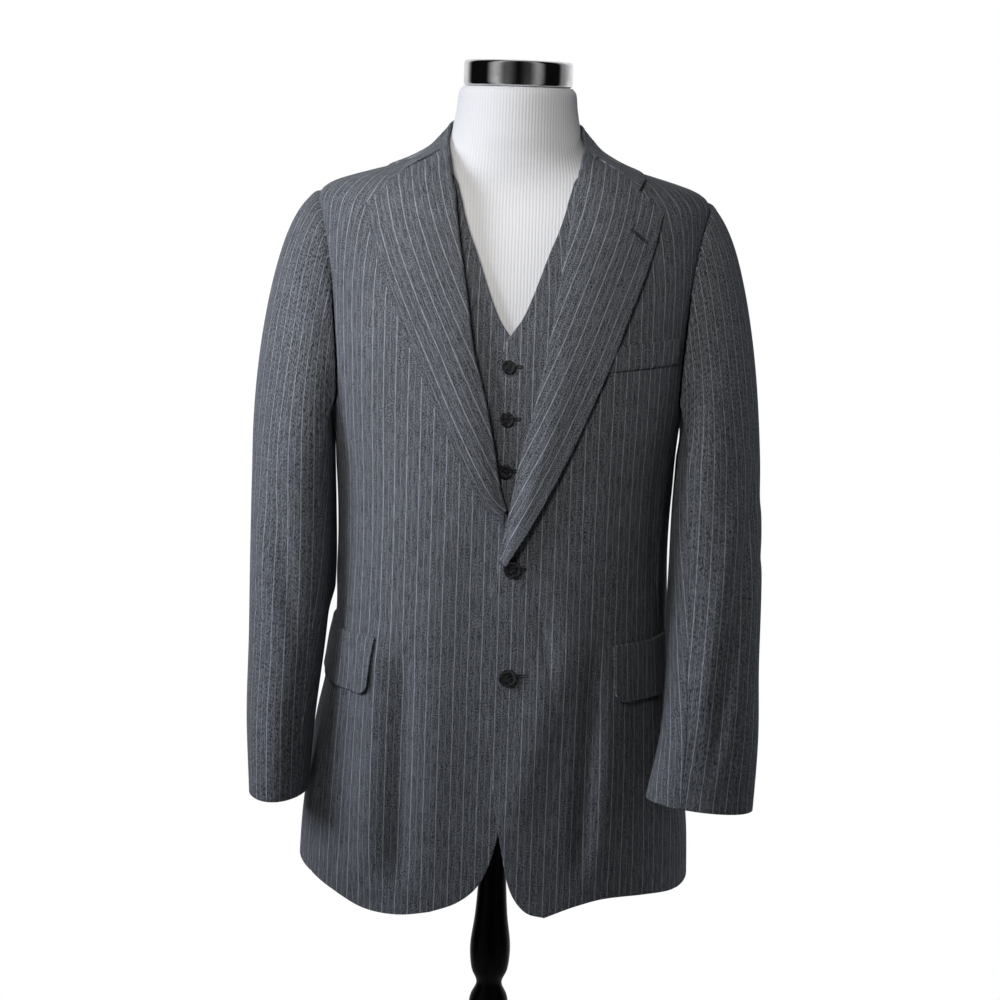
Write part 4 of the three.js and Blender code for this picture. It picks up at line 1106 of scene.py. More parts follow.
SLEEVE_SEAM_ALPHA = 125  # of both sleeve seams round the arm from its outer side
NECK_FROM = 0.878  # share of the roll line and neckline together at which the neckline starts
CALM_HEIGHTS = (1330, 1400)  # over which creases die out towards the shoulders
STILL_ANGLES = (12, 30)  # over which the slow swell grows away from the front edge
DIP_REACH = (75, 20)  # distances from the centre front where the overlap's dip starts and is full
DIP_HEIGHTS = (1160, 1090)  # heights where it starts and is full
DIP_ANGLES = (60, 90)  # over which it ends, so that it stays on the front
HIP_RADIUS = 175  # of the body's side where the pocket flaps lie
WELT_LOW = ((97, 1250), (174, 1257))  # ends of the welt's lower edge, by distance and height
WELT_HIGH = ((99, 1275.5), (174, 1282.5))
LAPEL_FOOT = 0.02  # share of the roll line where the lapel starts
LAPEL_CORNER = 0.74  # share of the lapel's top that lies along the collar
ROLL_RADIUS = 1.5  # of the cloth's middle where a lapel folds
ROLL_ANGLES = (-90, 78)  # through which the cloth turns there
ROLL_STEPS = 12
COLLAR_SLANT = 1.0  # of the stripes at the collar's ends: their shift along it per run across it
COLLAR_SECTION = (
    ("seam", "fold", 0.0, 0, -2, 0), ("seam", "fold", 0.5, 0, -2, 0), ("seam", "fold", 0.93, 0, -2, 0),
    ("seam", "fold", 1.0, 0.5, 0.5, 2.4), ("fold", "body", 0.06, 1, 3, 0),
    ("fold", "body", 0.35, 4.2, 6.2, 0), ("fold", "body", 0.7, 3.6, 5.6, 0),
    ("body", "edge", 0.0, 2.8, 4.8, 0), ("body", "edge", 1.0, 2, 4, 0),
)  # lines before and after, share between them, height of both faces, and rise of the outer one


def polar_curve(*rows: Pair) -> Line:
    """Smooth line through angles and heights, in flat coordinates."""
    return even_line(through(BODY.polar_line(rows)))


def straight_seam(start: Pair, end: Pair) -> Line:
    """Seam between two places, read at even shares of its length in space.

    Args:
        start: Angle and height of one end.
        end: Those of the other.

    Returns:
        The seam, in flat coordinates.
    """
    share = np.linspace(0, 1, 60)
    angle, z = lerp(start[0], end[0], share), lerp(start[1], end[1], share)
    length = run_along(BODY.ring(angle, z)[None], 1)[0]

    def at(t: Array) -> Array:
        """Places at shares of the seam's length, in flat coordinates."""
        place = np.interp(np.clip(t, 0, 1) * length[-1], length, share)
        return BODY.domain(lerp(start[0], end[0], place), lerp(start[1], end[1], place))

    return at


def collar_line(name: str, t: Array) -> tuple[Array, Array]:
    """Angle and height of one of the collar's lines, from 0 at the centre back to 1."""
    return COLLAR[name].read("angle", t), COLLAR[name].read("z", t)


def neckline(t: Array) -> Array:
    """Seam between the jacket and its collar, in flat coordinates."""
    return BODY.domain(*collar_line("seam", t))


SHOULDER_SEAM = straight_seam((90, 1468), (90, 1421))
FRONT_HOLE = polar_curve(*ARMHOLE_FRONT)
BACK_HOLE = polar_curve(*ARMHOLE_BACK)
UNDER_HOLE = polar_curve(*ARMHOLE_UNDER)


@dataclass(frozen=True)
class FlapCut:
    """Pocket flap: front upper corner, height, slant of the ends and span in degrees, corner radius."""

    x: float
    top: float
    height: float
    slant: float
    span: float = 52.0
    corner: float = 14.0


@dataclass(frozen=True)
class SleeveCut:
    """A sleeve as level sections, with how it leaves the shoulder.

    Attributes:
        rows: Height, centre, half widths across and along, and turn of each section.
        slant: How the cuff's height changes with distance from the body.
        drop: How steeply the outer side starts down.
        folds: Creases, with the angle round the arm for the angle.
    """

    rows: Table
    slant: float
    drop: float
    folds: tuple[Fold, ...]

    def section(self, alpha: Array, z: Array) -> Array:
        """Points of level sections; alpha is 0 at the outer side and 90 in front."""
        value = {name: self.rows.read(name, z) for name in self.rows.names[1:]}
        turn = np.radians(value["turn"])
        x, y = np.cos(np.radians(alpha)), -np.sin(np.radians(alpha))
        narrow = (x * np.cos(turn) - y * np.sin(turn)) / value["across"]
        wide = (-x * np.sin(turn) - y * np.cos(turn)) / value["along"]
        reach = 1 / np.hypot(narrow, wide)
        return np.stack([value["x"] + reach * x, value["y"] + reach * y, z + 0 * reach], -1)


@dataclass(frozen=True)
class HalfCut:
    """How one side of the blazer is cut and lies.

    Attributes:
        side: The side.
        hem: Height of the hem round the body.
        edge: Front edge from the hem to the roll.
        roll: Line that the lapel folds on, up to the neck.
        lapel_edge: Outer edge of the lapel.
        spring: How far the lapel's lower end stands off.
        dip: How far its front passes below the other front.
        flap: The pocket flap.
        sleeve: The sleeve.
        folds: Creases of the body.
        shift: Where the stripes fall, in millimetres.
    """

    side: Side
    hem: Table
    edge: Pairs
    roll: Pairs
    lapel_edge: Pairs
    spring: float
    dip: float
    flap: FlapCut
    sleeve: SleeveCut
    folds: tuple[Fold, ...]
    shift: float

    def node(self, name: str) -> str:
        """Name of a piece on this side."""
        return f"{name}_{self.side.word}"

    def lift(self, angle: Array, z: Array) -> Array:
        """Height of the cloth over the body from creases, slow swell and the overlap."""
        calm = 1 - smoothstep(z, *CALM_HEIGHTS)
        wave = drift(angle, z, 0.9) * smoothstep(angle, *STILL_ANGLES) + folded(self.folds, angle, z)
        x = BODY.ring(angle, z)[..., 0]
        under = 1 - smoothstep(angle, *DIP_ANGLES)
        for value, (starts, full) in ((x, DIP_REACH), (z, DIP_HEIGHTS)):
            under = under * smoothstep(starts - value, 0, starts - full)
        return wave * calm - self.dip * under

    def height(self, u: Array, v: Array, angle: Array, z: Array) -> Array:
        """The same height, in the way that cloth_panel asks for it."""
        return self.lift(angle, z)

    def front_seam(self) -> Line:
        """Seam between the front and the side panel."""
        a = FRONT_SEAM_ANGLE
        start = (a, float(self.hem.read("z", a)))
        return polar_curve(start, (a - 1, 850), (a, 1000), (a + 1, 1120), ARMHOLE_FRONT[0])

    def back_seam(self) -> Line:
        """Seam between the side panel and the back."""
        a = BACK_SEAM_ANGLE
        start = (a, float(self.hem.read("z", a)))
        return polar_curve(start, (a, 850), (a + 1, 1000), (a, 1120), ARMHOLE_BACK[0])

    def hem_line(self, start: float, end: float) -> Line:
        """The hem between two angles."""
        def at(t: Array) -> Array:
            """Places at shares of the angle between them."""
            angle = lerp(start, end, t)
            return BODY.domain(angle, self.hem.read("z", angle))

        return at

    def edge_line(self) -> Line:
        """The front edge, then the roll line."""
        low = even_line(through(BODY.front_line(self.edge)))
        return join(low, self.roll_line(neck=True), 0.5)

    def roll_line(self, neck: bool = False) -> Line:
        """The roll line up to the gorge, or on along the front's neckline."""
        top = neckline(np.array(1.0)) if neck else BODY.domain(*GORGE_TOP)
        rise = even_line(through([*BODY.front_line(self.roll), top]))
        return join(rise, lambda t: neckline(1 - t / 2), NECK_FROM) if neck else rise


# ---- the blazer


@dataclass
class Blazer:
    """Single-breasted two-button blazer with notch lapels, flap pockets and a breast welt.

    Attributes:
        halves: The cut of each side, the left one first.
        front, side, back, sleeve_top, sleeve_under, collar, lapel, flap, welt: Flat sizes.
        pieces: The finished pieces.
        lapels: Each side's lapel grid, kept for the buttonhole in it.
    """

    halves: tuple[HalfCut, HalfCut]
    front: Flat = Flat(0.25, 0.80, 0.148)
    side: Flat = Flat(0.13, 0.55, 0.069)
    back: Flat = Flat(0.21, 0.80, 0.14)
    sleeve_top: Flat = Flat(0.30, 0.66, 0.13)
    sleeve_under: Flat = Flat(0.11, 0.50, 0.04)
    collar: Flat = Flat(0.50, 0.10, 0.033)
    lapel: Flat = Flat(0.11, 0.44, 0.027)
    flap: Flat = Flat(0.158, 0.062, 0.0094)
    welt: Flat = Flat(0.088, 0.028, 0.0024)
    pieces: list[Piece] = field(default_factory=list)
    lapels: dict[Side, ClothGrid] = field(default_factory=dict)

    def build(self) -> None:
        """Cuts and places every piece of the blazer."""
        for half in self.halves:
            self._front(half)
            self._side(half)
            self._back(half)
            self._sleeve(half)
            self._lapel(half)
            self._flap(half)
        self._collar()
        self._welt(self.halves[0])

    def dress(self, suiting: Suiting) -> None:
        """Gives every piece the suit's cloth."""
        settle_all(self.pieces, suiting.material())

    def _sew(
        self, grid: ClothGrid, half: HalfCut | None, name: str, on: list[str]
    ) -> None:
        """Sews a piece, with its side's shift of the stripes.

        Args:
            grid: Its points for the left side.
            half: The half that it belongs to, or none for the collar.
            name: Its name, without the side.
            on: What it lies on or hangs from; not used.
        """
        if half:
            grid.across = grid.across + half.shift
            name = half.node(name)
        self.pieces.append(sew(grid, half.side if half else None, name))

    def _front(self, half: HalfCut) -> None:
        """Front panel, from its edge to the side seam, shoulder and neck.

        Args:
            half: The half that it belongs to.
        """
        corner = BODY.angle_at(*half.edge[0])
        borders = Borders(
            bottom=half.hem_line(corner, FRONT_SEAM_ANGLE),
            top=SHOULDER_SEAM,
            inner=half.edge_line(),
            outer=join(half.front_seam(), FRONT_HOLE, 0.5),
        )
        grid = cloth_panel(borders, near_borders(80), near_borders(150), half.height, Face.FRONT, "rt")
        self._sew(grid, half, "jacket_front", [half.node("waistcoat_front")])

    def _side(self, half: HalfCut) -> None:
        """Side panel below the underarm.

        Args:
            half: The half that it belongs to.
        """
        borders = Borders(
            bottom=half.hem_line(FRONT_SEAM_ANGLE, BACK_SEAM_ANGLE),
            top=UNDER_HOLE,
            inner=half.front_seam(),
            outer=half.back_seam(),
        )
        grid = cloth_panel(borders, near_borders(44), near_borders(90), half.height, Face.SIDE, "lrt")
        self._sew(grid, half, "jacket_side", [half.node("jacket_front")])

    def _back(self, half: HalfCut) -> None:
        """Back panel, with the seam down the centre.

        Args:
            half: The half that it belongs to.
        """
        top = join(lambda t: SHOULDER_SEAM(1 - t), lambda t: neckline(0.5 - t / 2), 0.5)
        low = polar_curve((180, float(half.hem.read("z", 180))), (180, 1200))
        high = polar_curve((180, 1200), (180, 1471))
        borders = Borders(
            bottom=half.hem_line(BACK_SEAM_ANGLE, 180),
            top=top,
            inner=join(half.back_seam(), BACK_HOLE, 0.5),
            outer=join(low, high, 0.5),
        )
        grid = cloth_panel(borders, near_borders(70), near_borders(140), half.height, Face.BACK, "lrt")
        self._sew(grid, half, "jacket_back", [half.node("waistcoat_back")])

    def _sleeve(self, half: HalfCut) -> None:
        """Top and under sleeve, cut from one tube so that they agree along their seams.

        Args:
            half: The half that it belongs to.
        """
        def towards_top(share: Array) -> Array:
            """Shares of an armhole seam, drawn closer towards the shoulder."""
            return 1 - (1 - share) ** 1.4

        t = near_borders(40, (0.004, 0.012))
        part = near_borders(24, (0.01, 0.03))
        front, back = FRONT_HOLE(towards_top(t)), BACK_HOLE(towards_top(1 - t))
        seams = np.vstack([front, back[1:], UNDER_HOLE(1 - part)[1:]])
        over, under = SLEEVE_SEAM_ALPHA, SLEEVE_SEAM_ALPHA - 360
        alpha = np.concatenate([over * (1 - t), -over * t[1:], lerp(-over, under, part)[1:]])
        top_count = 2 * len(t) - 1
        tube = SleeveTube(half.sleeve, seams, alpha)
        hangs_from = [half.node("jacket_front"), half.node("jacket_back")]
        for name, chosen, flat in (
            ("sleeve_top", np.arange(top_count), self.sleeve_top),
            ("sleeve_under", np.arange(top_count - 1, len(alpha)), self.sleeve_under),
        ):
            self._sew(tube.cut(chosen), half, name, hangs_from)

    def _lapel(self, half: HalfCut) -> None:
        """Lapel: the front's cloth rolled over itself and laid back.

        Args:
            half: The half that it belongs to.
        """
        roll = half.roll_line()
        edge = even_line(through(BODY.front_line(half.lapel_edge)))
        collar_end = [
            (lerp(GORGE_TOP[0], NOTCH[0], k) - 0.1, lerp(GORGE_TOP[1] + 0.6, NOTCH[1], k))
            for k in np.linspace(0, 1, 5)
        ]
        corner = BODY.front_line([half.lapel_edge[-1]])
        low = even_line(through(BODY.polar_line(collar_end)))
        high = even_line(through([BODY.domain(*collar_end[-1]), *corner]))
        borders = Borders(
            bottom=even_line(np.array([roll(np.array(LAPEL_FOOT)), edge(np.array(0.0))])),
            top=join(low, high, LAPEL_CORNER),
            inner=lambda v: roll(lerp(LAPEL_FOOT, 1, v)),
            outer=edge,
        )
        u, v = near_borders(44), near_borders(130)
        angle, z = borders.patch(BODY, u, v)
        s, rise = np.meshgrid(u, v)
        belly = 2.2 * np.sin(math.pi * np.minimum(s * 1.1, 1)) * smoothstep(rise, 0, 0.3)
        lift = 2 * LAY_GAP + belly + 2.6 * s * (1 - smoothstep(rise, 0.8, 1))
        lift += half.spring * (1 - smoothstep(rise, 0.05, 0.5)) * smoothstep(s, 0, 0.6)
        lift += half.lift(angle, z) + CLOTH
        outer, inner = BODY.point(angle, z, lift), BODY.point(angle, z, lift - CLOTH)
        outer[:, -1] = inset(outer)[:, -1]
        across = self._edge_distance(outer)
        # The roll: cloth turns up round the front's own edge, then runs into the leaf.
        line = BODY.point(angle[:, 0], z[:, 0], half.lift(angle[:, 0], z[:, 0]))
        normal = BODY.normal(angle[:, 0], z[:, 0])
        along = np.gradient(line, axis=0)
        opening = np.cross(normal, along)
        opening /= np.linalg.norm(opening, axis=1, keepdims=True)
        opening *= -np.sign(np.sum(opening * (outer[:, 8] - outer[:, 0]), 1, keepdims=True))
        turn = np.radians(np.linspace(*ROLL_ANGLES, ROLL_STEPS))
        rolled = []
        for radius in (ROLL_RADIUS + CLOTH / 2, ROLL_RADIUS - CLOTH / 2):
            out = 0.7 + radius * np.cos(turn)
            up = (2 * LAY_GAP + CLOTH / 2 - ROLL_RADIUS) + radius * np.sin(turn)
            rolled.append(line[:, None] + opening[:, None] * out[:, None] + normal[:, None] * up[:, None])
        outer = np.concatenate([rolled[0], outer[:, 1:]], 1)
        inner = np.concatenate([rolled[1], inner[:, 1:]], 1)
        run = run_along(outer, 1)
        rolled_across = across[:, :1] + run[:, [ROLL_STEPS]] - run[:, :ROLL_STEPS]
        across = np.concatenate([rolled_across, across[:, 1:]], 1)
        along = run_along(outer, 0)
        self.lapels[half.side] = ClothGrid(outer, inner, across, along)
        grid = ClothGrid(outer, inner, across - half.shift + 1.5, along)
        self._sew(grid, half, "lapel", [half.node("jacket_front")])

    @staticmethod
    def _edge_distance(points: Array) -> Array:
        """Distance of each point of a grid from its last column's line, drawn on at its top."""
        edge = np.vstack([points[:, -1], points[-1, -1] + 8 * (points[-1, -1] - points[-12, -1])])
        step = np.diff(edge, axis=0)
        length = np.linalg.norm(step, axis=1)
        place = points[:, :, None, :] - edge[:-1]
        t = np.clip(np.sum(place * step, -1) / length ** 2, 0, 1)
        return np.linalg.norm(place - t[..., None] * step, axis=-1).min(-1)

    def _flap(self, half: HalfCut) -> None:
        """Pocket flap with rounded lower corners, standing off a little below.

        Args:
            half: The half that it belongs to.
        """
        cut = half.flap
        first = BODY.angle_at(cut.x, cut.top)
        length = math.radians(cut.span) * HIP_RADIUS

        def bottom_z(u: Array) -> Array:
            """Height of the lower edge, which rises round both corners."""
            inside = np.maximum(cut.corner - np.minimum(u, 1 - u) * length, 0) / cut.corner
            return cut.top - cut.height + cut.corner * (1 - np.sqrt(1 - 0.98 * inside ** 2))

        def end(u: float) -> Line:
            """The front or the back end, from the bottom up."""
            low = float(bottom_z(np.array(u)))
            return lambda v: BODY.domain(
                first + cut.span * u + cut.slant * (1 - v), lerp(low, cut.top, v)
            )

        borders = Borders(
            bottom=lambda u: BODY.domain(first + cut.span * u + cut.slant, bottom_z(u)),
            top=lambda u: BODY.domain(first + cut.span * u, cut.top),
            inner=end(0),
            outer=end(1),
        )

        def height(u: Array, v: Array, angle: Array, z: Array) -> Array:
            """Height of a flap that curls out below, most at its front corner."""
            curl = 1.6 * (1 - v) + 1.4 * (1 - v) ** 2 * (1 - smoothstep(u, 0, 0.35))
            return CLOTH + 1.6 * LAY_GAP + curl + half.lift(angle, z)

        corners = [np.linspace(0, 0.09, 14), np.linspace(0.91, 1, 14)]
        u, v = np.unique(np.concatenate([near_borders(60), *corners])), near_borders(26, (0.01, 0.025))
        grid = cloth_panel(borders, u, v, height, Face.FRONT, "t")
        self._sew(grid, half, "pocket_flap", [half.node("jacket_front")])

    def _welt(self, half: HalfCut) -> None:
        """Breast pocket welt, a narrow band sewn down at both ends.

        Args:
            half: The half that it belongs to.
        """
        low, high = BODY.front_line(WELT_LOW), BODY.front_line(WELT_HIGH)
        borders = Borders(
            bottom=even_line(np.array(low)),
            top=even_line(np.array(high)),
            inner=even_line(np.array([low[0], high[0]])),
            outer=even_line(np.array([low[1], high[1]])),
        )

        def height(u: Array, v: Array, angle: Array, z: Array) -> Array:
            """Height of a band laid on the front."""
            return CLOTH + 1.5 * LAY_GAP + half.lift(angle, z)

        grid = cloth_panel(borders, near_borders(40), near_borders(12, (0.02,)), height, Face.FRONT, "lrb")
        grid.across = grid.across + half.shift
        on = [half.node("jacket_front")]
        self.pieces.append(sew(grid, half.side, "breast_welt"))

    def _collar(self) -> None:
        """Collar: a stand up the neck, folded over into a leaf that lies on the shoulders."""
        share = near_borders(120, (0.002, 0.005)) * 2 - 1
        t = np.abs(share)
        faces = []
        for uncovered in (False, True):
            rows = []
            for start, end, s, covered, bare, rise in COLLAR_SECTION:
                a0, z0 = collar_line(start, t)
                a1, z1 = collar_line(end, t)
                z = lerp(z0, z1, s) + (NECK_SEAM_GAP * (1 - s) if start == "seam" else 0)
                point = BODY.point(lerp(a0, a1, s), z, (bare if uncovered else covered) + 0 * t)
                if uncovered:
                    point[:, 2] += rise
                point[:, 0] *= np.where(share < 0, -1, 1)
                rows.append(point)
            stack = np.array(rows)
            smooth = through(stack.reshape(len(rows), -1), 7).reshape(-1, len(share), 3)
            faces.append(smooth)
        inner, outer = faces
        # Stripes cross the collar: plumb at the centre back, and slanting out at its ends.
        run = run_along(outer, 1)
        from_back = run - run[:, -1:] / 2
        slant = COLLAR_SLANT * smoothstep(t, 0.35, 0.8) * np.sign(share)
        across = from_back - slant * run_along(outer, 0)
        grid = ClothGrid(inset(outer, SEAM_GAP), inset(inner, SEAM_GAP), across, run_along(outer, 0))
        self._sew(grid, None, "collar", ["jacket_back_left", "jacket_back_right"])


@dataclass
class SleeveTube:
    """A whole sleeve before it is cut in two.

    Attributes:
        cut_shape: The sleeve's shape.
        seams: Places on the armhole in flat coordinates, one for each station round the arm.
        alpha: Angle round the arm of each station.
        head_rows: Rows from the armhole down to the first level section.
        level_rows: Level sections from there to the cuff.
    """

    cut_shape: SleeveCut
    seams: Array
    alpha: Array
    head_rows: int = 30
    level_rows: int = 110

    def __post_init__(self) -> None:
        """Makes the tube's points, its directions and its cloth map."""
        shape, alpha = self.cut_shape, self.alpha
        table = np.array(sorted(shape.rows.rows, reverse=True))
        top, cuff = table[0, 0], table[-1, 0]
        seam_angle, seam_z = self.seams[:, 0] / MM_PER_DEGREE, BODY.level(self.seams[:, 1])
        head = self._head(seam_angle, seam_z, top)
        level = np.linspace(top, cuff, self.level_rows)[1:, None]
        arm = shape.section(alpha[None, :], level)
        low = smoothstep(-level, -cuff - 90, -cuff)
        arm[..., 2] += low * shape.slant * (arm[..., 0] - shape.rows.read("x", level))
        points = np.vstack([head, arm])
        normals = grid_normals(points, wrap=True)
        centre = points.mean(1, keepdims=True)
        if np.sum(normals * (points - centre)) < 0:
            normals = -normals
        shared = 1 - smoothstep(-np.cos(np.radians(alpha)), -0.7, 0)
        body = BODY.normal(seam_angle, seam_z)
        first = lerp(normals[0], body, shared[:, None])
        normals[0] = first / np.linalg.norm(first, axis=1, keepdims=True)
        down = run_along(points, 0)
        upper = smoothstep(np.cos(np.radians(alpha)), -0.5, 0.2)
        z = points[..., 2]
        creases = folded(shape.folds, np.broadcast_to(alpha, z.shape), z, 0.85) * smoothstep(down, 12, 60)
        lift = creases + drift(alpha[None, :] * 0.6, z, 0.6) * smoothstep(down, 20, 90)
        # A little roping beside the armhole seam, which itself sinks in.
        lift += 1.1 * upper * np.exp(-(((down - 7) / 5) ** 2)) - 0.7 * np.exp(-((down / 1.6) ** 2))
        self.outer = points + normals * lift[..., None]
        self.inner = self.outer - normals * CLOTH
        # Stripes run plumb down the outer side of the arm and over the head of the sleeve.
        outer_line = int(np.argmin(np.abs(alpha)))
        rings = run_along(points, 1)
        rings = rings - rings[:, outer_line:outer_line + 1]
        first_level = self.head_rows
        level_way = np.stack([-normals[..., 1], normals[..., 0]], -1)[:first_level + 1]
        level_way /= np.maximum(np.linalg.norm(level_way, axis=-1, keepdims=True), 1e-6)
        tangent = np.gradient(points[first_level], axis=0)[:, :2]
        level_way *= np.sign(np.sum(level_way[first_level] * tangent, -1))[:, None]
        step = np.sum(np.diff(points[:first_level + 1, :, :2], axis=0) * level_way[:-1], -1)
        over_head = rings[first_level] - np.cumsum(step[::-1], axis=0)[::-1]
        self.across = np.vstack([over_head, rings[first_level:]])
        self.down = down

    def _head(self, seam_angle: Array, seam_z: Array, top: float) -> Array:
        """Rows from the armhole to the first level section, leaving the seam outwards.

        Args:
            seam_angle: Angle of each station on the armhole.
            seam_z: Height of each station.
            top: Height of the first level section.

        Returns:
            The rows of points.
        """
        shape, alpha = self.cut_shape, self.alpha
        cos, sin = np.cos(np.radians(alpha)), np.sin(np.radians(alpha))
        away, under = (1 + cos) / 2, smoothstep(-cos, -0.5, 0.3)
        start = np.stack([0.3 + 0.6 * away, -0.45 * sin, -lerp(0.9, shape.drop, away)], -1)
        start /= np.linalg.norm(start, axis=1, keepdims=True)
        inwards = np.stack([
            (ARMHOLE_CENTRE[0] - seam_angle) * MM_PER_DEGREE, ARMHOLE_CENTRE[1] - seam_z,
        ], -1)
        inwards *= SEAM_GAP / np.linalg.norm(inwards, axis=1, keepdims=True)
        begin = BODY.point(
            seam_angle + inwards[:, 0] / MM_PER_DEGREE, seam_z + inwards[:, 1], 2 * LAY_GAP * under
        )
        ring = shape.section(alpha, np.full(len(alpha), top))
        reach = 0.6 * np.linalg.norm(begin - ring, axis=1, keepdims=True)
        end = shape.section(alpha, np.full(len(alpha), top - 10)) - ring
        end *= 1.2 * reach / np.linalg.norm(end, axis=1, keepdims=True)
        t = (np.linspace(0, 1, self.head_rows + 1) ** 1.25)[:, None, None]
        return hermite(t, begin, ring, start * reach, end)

    def cut(self, columns: Array) -> ClothGrid:
        """The piece between two seams, whose long sides are drawn in a little."""
        count = len(self.alpha) - 1
        wrap = columns % count
        outer, inner = self.outer[:, wrap].copy(), self.inner[:, wrap].copy()
        for grid in (outer, inner):
            for here, beside in ((0, 1), (-1, -2)):
                way = grid[:, beside] - grid[:, here]
                length = np.linalg.norm(way, axis=1, keepdims=True)
                grid[:, here] += way / length * np.minimum(SEAM_GAP * 0.8, length * 0.8)
        return ClothGrid(outer, inner, self.across[:, columns % len(self.alpha)], self.down[:, wrap])


# ---- the waistcoat

WAISTCOAT_EDGE = ((-4, 936), (-9, 960), (-9, 1100), (-9, 1250))
WAISTCOAT_NECK = ((-9, 1250), (-3.5, 1277), (13, 1303), (36.8, 1365.5), (57, 1425.7), (67.5, 1450))
WAISTCOAT_NECK_POINT = (90, 1463)
WAISTCOAT_SHOULDER_END = (90, 1443)
WAISTCOAT_HEM = ((-4, 936), (45, 905), (110, 932))
WAISTCOAT_SIDE = ((90, 950), (90, 1165))
WAISTCOAT_HOLE_FRONT = ((80, 1180), (66, 1240), (62, 1320), (66, 1400))
WAISTCOAT_HOLE_BACK = ((100, 1180), (113, 1240), (117, 1320), (115.5, 1395), (109, 1432))
WAISTCOAT_BACK_HEM = 952
WAISTCOAT_BACK_NECK = 1461


@dataclass
class Waistcoat:
    """Single-breasted waistcoat in the suit's cloth, worn under the blazer."""

    front: Flat = Flat(0.27, 0.56, 0.104)
    back: Flat = Flat(0.31, 0.53, 0.096)
    pieces: list[Piece] = field(default_factory=list)

    def _back_height(self, u: Array, v: Array, angle: Array, z: Array) -> Array:
        """Height of a back's right side, which rises to meet the blazer's shoulders."""
        rise = smoothstep(v, 0.66, 1)
        return lerp(WAISTCOAT_DEPTH, WAISTCOAT_SHOULDER_DEPTH, rise) - WAISTCOAT_BACK_DROP * rise

    def _front_height(self, dip: float) -> Callable[..., Array]:
        """Height of a front's right side, which dips below the other front by a distance."""
        def height(u: Array, v: Array, angle: Array, z: Array) -> Array:
            """Height at places of the panel."""
            x = BODY.ring(angle, z)[..., 0]
            under = smoothstep(60 - x, 0, 40) * smoothstep(1330 - z, 0, 60)
            swell = drift(angle * 1.3, z, 0.5) * smoothstep(angle, 10, 25) * (1 - smoothstep(v, 0.6, 0.8))
            depth = lerp(WAISTCOAT_DEPTH, WAISTCOAT_SHOULDER_DEPTH, smoothstep(v, 0.66, 1))
            return depth - dip * under + swell

        return height

    def build(self) -> None:
        """Cuts both fronts and both backs."""
        seam = straight_seam(*WAISTCOAT_SIDE)
        shoulder = straight_seam(WAISTCOAT_NECK_POINT, WAISTCOAT_SHOULDER_END)

        def armhole(rows: Pairs) -> Line:
            """Armhole from the side seam up to the shoulder."""
            return polar_curve(WAISTCOAT_SIDE[1], *rows, WAISTCOAT_SHOULDER_END)

        hem = [*BODY.front_line(WAISTCOAT_HEM), BODY.domain(*WAISTCOAT_SIDE[0])]
        neck = [*BODY.front_line(WAISTCOAT_NECK), BODY.domain(*WAISTCOAT_NECK_POINT)]
        front = Borders(
            bottom=even_line(through(hem)),
            top=shoulder,
            inner=join(
                even_line(through(BODY.front_line(WAISTCOAT_EDGE))), even_line(through(neck)), 0.4
            ),
            outer=join(seam, armhole(WAISTCOAT_HOLE_FRONT), 0.4),
        )
        back = Borders(
            bottom=lambda u: BODY.domain(
                lerp(90, 180, u), lerp(WAISTCOAT_SIDE[0][1], WAISTCOAT_BACK_HEM, u)
            ),
            top=join(
                lambda t: shoulder(1 - t),
                lambda t: BODY.domain(
                    lerp(90, 180, t), lerp(WAISTCOAT_NECK_POINT[1], WAISTCOAT_BACK_NECK, t)
                ),
                0.5,
            ),
            inner=join(seam, armhole(WAISTCOAT_HOLE_BACK), 0.4),
            outer=lambda v: BODY.domain(180 + 0 * v, lerp(WAISTCOAT_BACK_HEM, WAISTCOAT_BACK_NECK, v)),
        )
        u, v = near_borders(60), near_borders(120)
        for side, dip, shift in ((Side.LEFT, 0.0, 3.0), (Side.RIGHT, WAISTCOAT_OVERLAP, 8.0)):
            for name, borders, height, face, sewn, flat in (
                ("front", front, self._front_height(dip), Face.FRONT, "r", self.front),
                ("back", back, self._back_height, Face.BACK, "", self.back),
            ):
                grid = cloth_panel(borders, u, v, height, face, sewn)
                grid.across = grid.across + shift
                label = f"waistcoat_{name}_{side.word}"
                self.pieces.append(sew(grid, side, label))

    def dress(self, suiting: Suiting) -> None:
        """Gives every panel the suit's cloth, cut from the same length."""
        settle_all(self.pieces, suiting.material("grey_pinstripe_worsted_waistcoat"))


# ---- small pieces


def added(operator: Callable[..., set[str]], **settings: object) -> Object:
    """Adds a primitive with nothing else selected.

    Args:
        operator: The operator that adds it.
        **settings: What the operator takes.

    Returns:
        The new object.
    """
    bpy.ops.object.select_all(action="DESELECT")
    operator(**settings)
    return bpy.context.object


def edit_all() -> None:
    """Starts to edit the active object, with all of it selected."""
    bpy.ops.object.mode_set(mode="EDIT")
    bpy.ops.mesh.select_all(action="SELECT")


def face_outwards() -> None:
    """Turns every face of the edited mesh outwards."""
    bpy.ops.mesh.select_all(action="SELECT")
    bpy.ops.mesh.normals_make_consistent(inside=False)


def draw_up(low: float, high: float, scale: Pair) -> None:
    """Extrudes the selected end up and scales it about the post's axis.

    Args:
        low: Its height.
        high: The height that it is drawn up to.
        scale: How much wider and deeper it gets.
    """
    bpy.ops.mesh.extrude_region_move(TRANSFORM_OT_translate={"value": (0, 0, (high - low) * MM)})
    bpy.ops.transform.resize(value=(*scale, 1), center_override=(0, 0, high * MM))


def pick_numbers(obj: Object, numbers: Sequence[int]) -> None:
    """Selects in edit mode only the vertices that have given numbers."""
    mesh = bmesh.from_edit_mesh(obj.data)
    mesh.verts.ensure_lookup_table()
    for vert in mesh.verts:
        vert.select = vert.index in numbers
    mesh.select_flush_mode()
    bmesh.update_edit_mesh(obj.data)


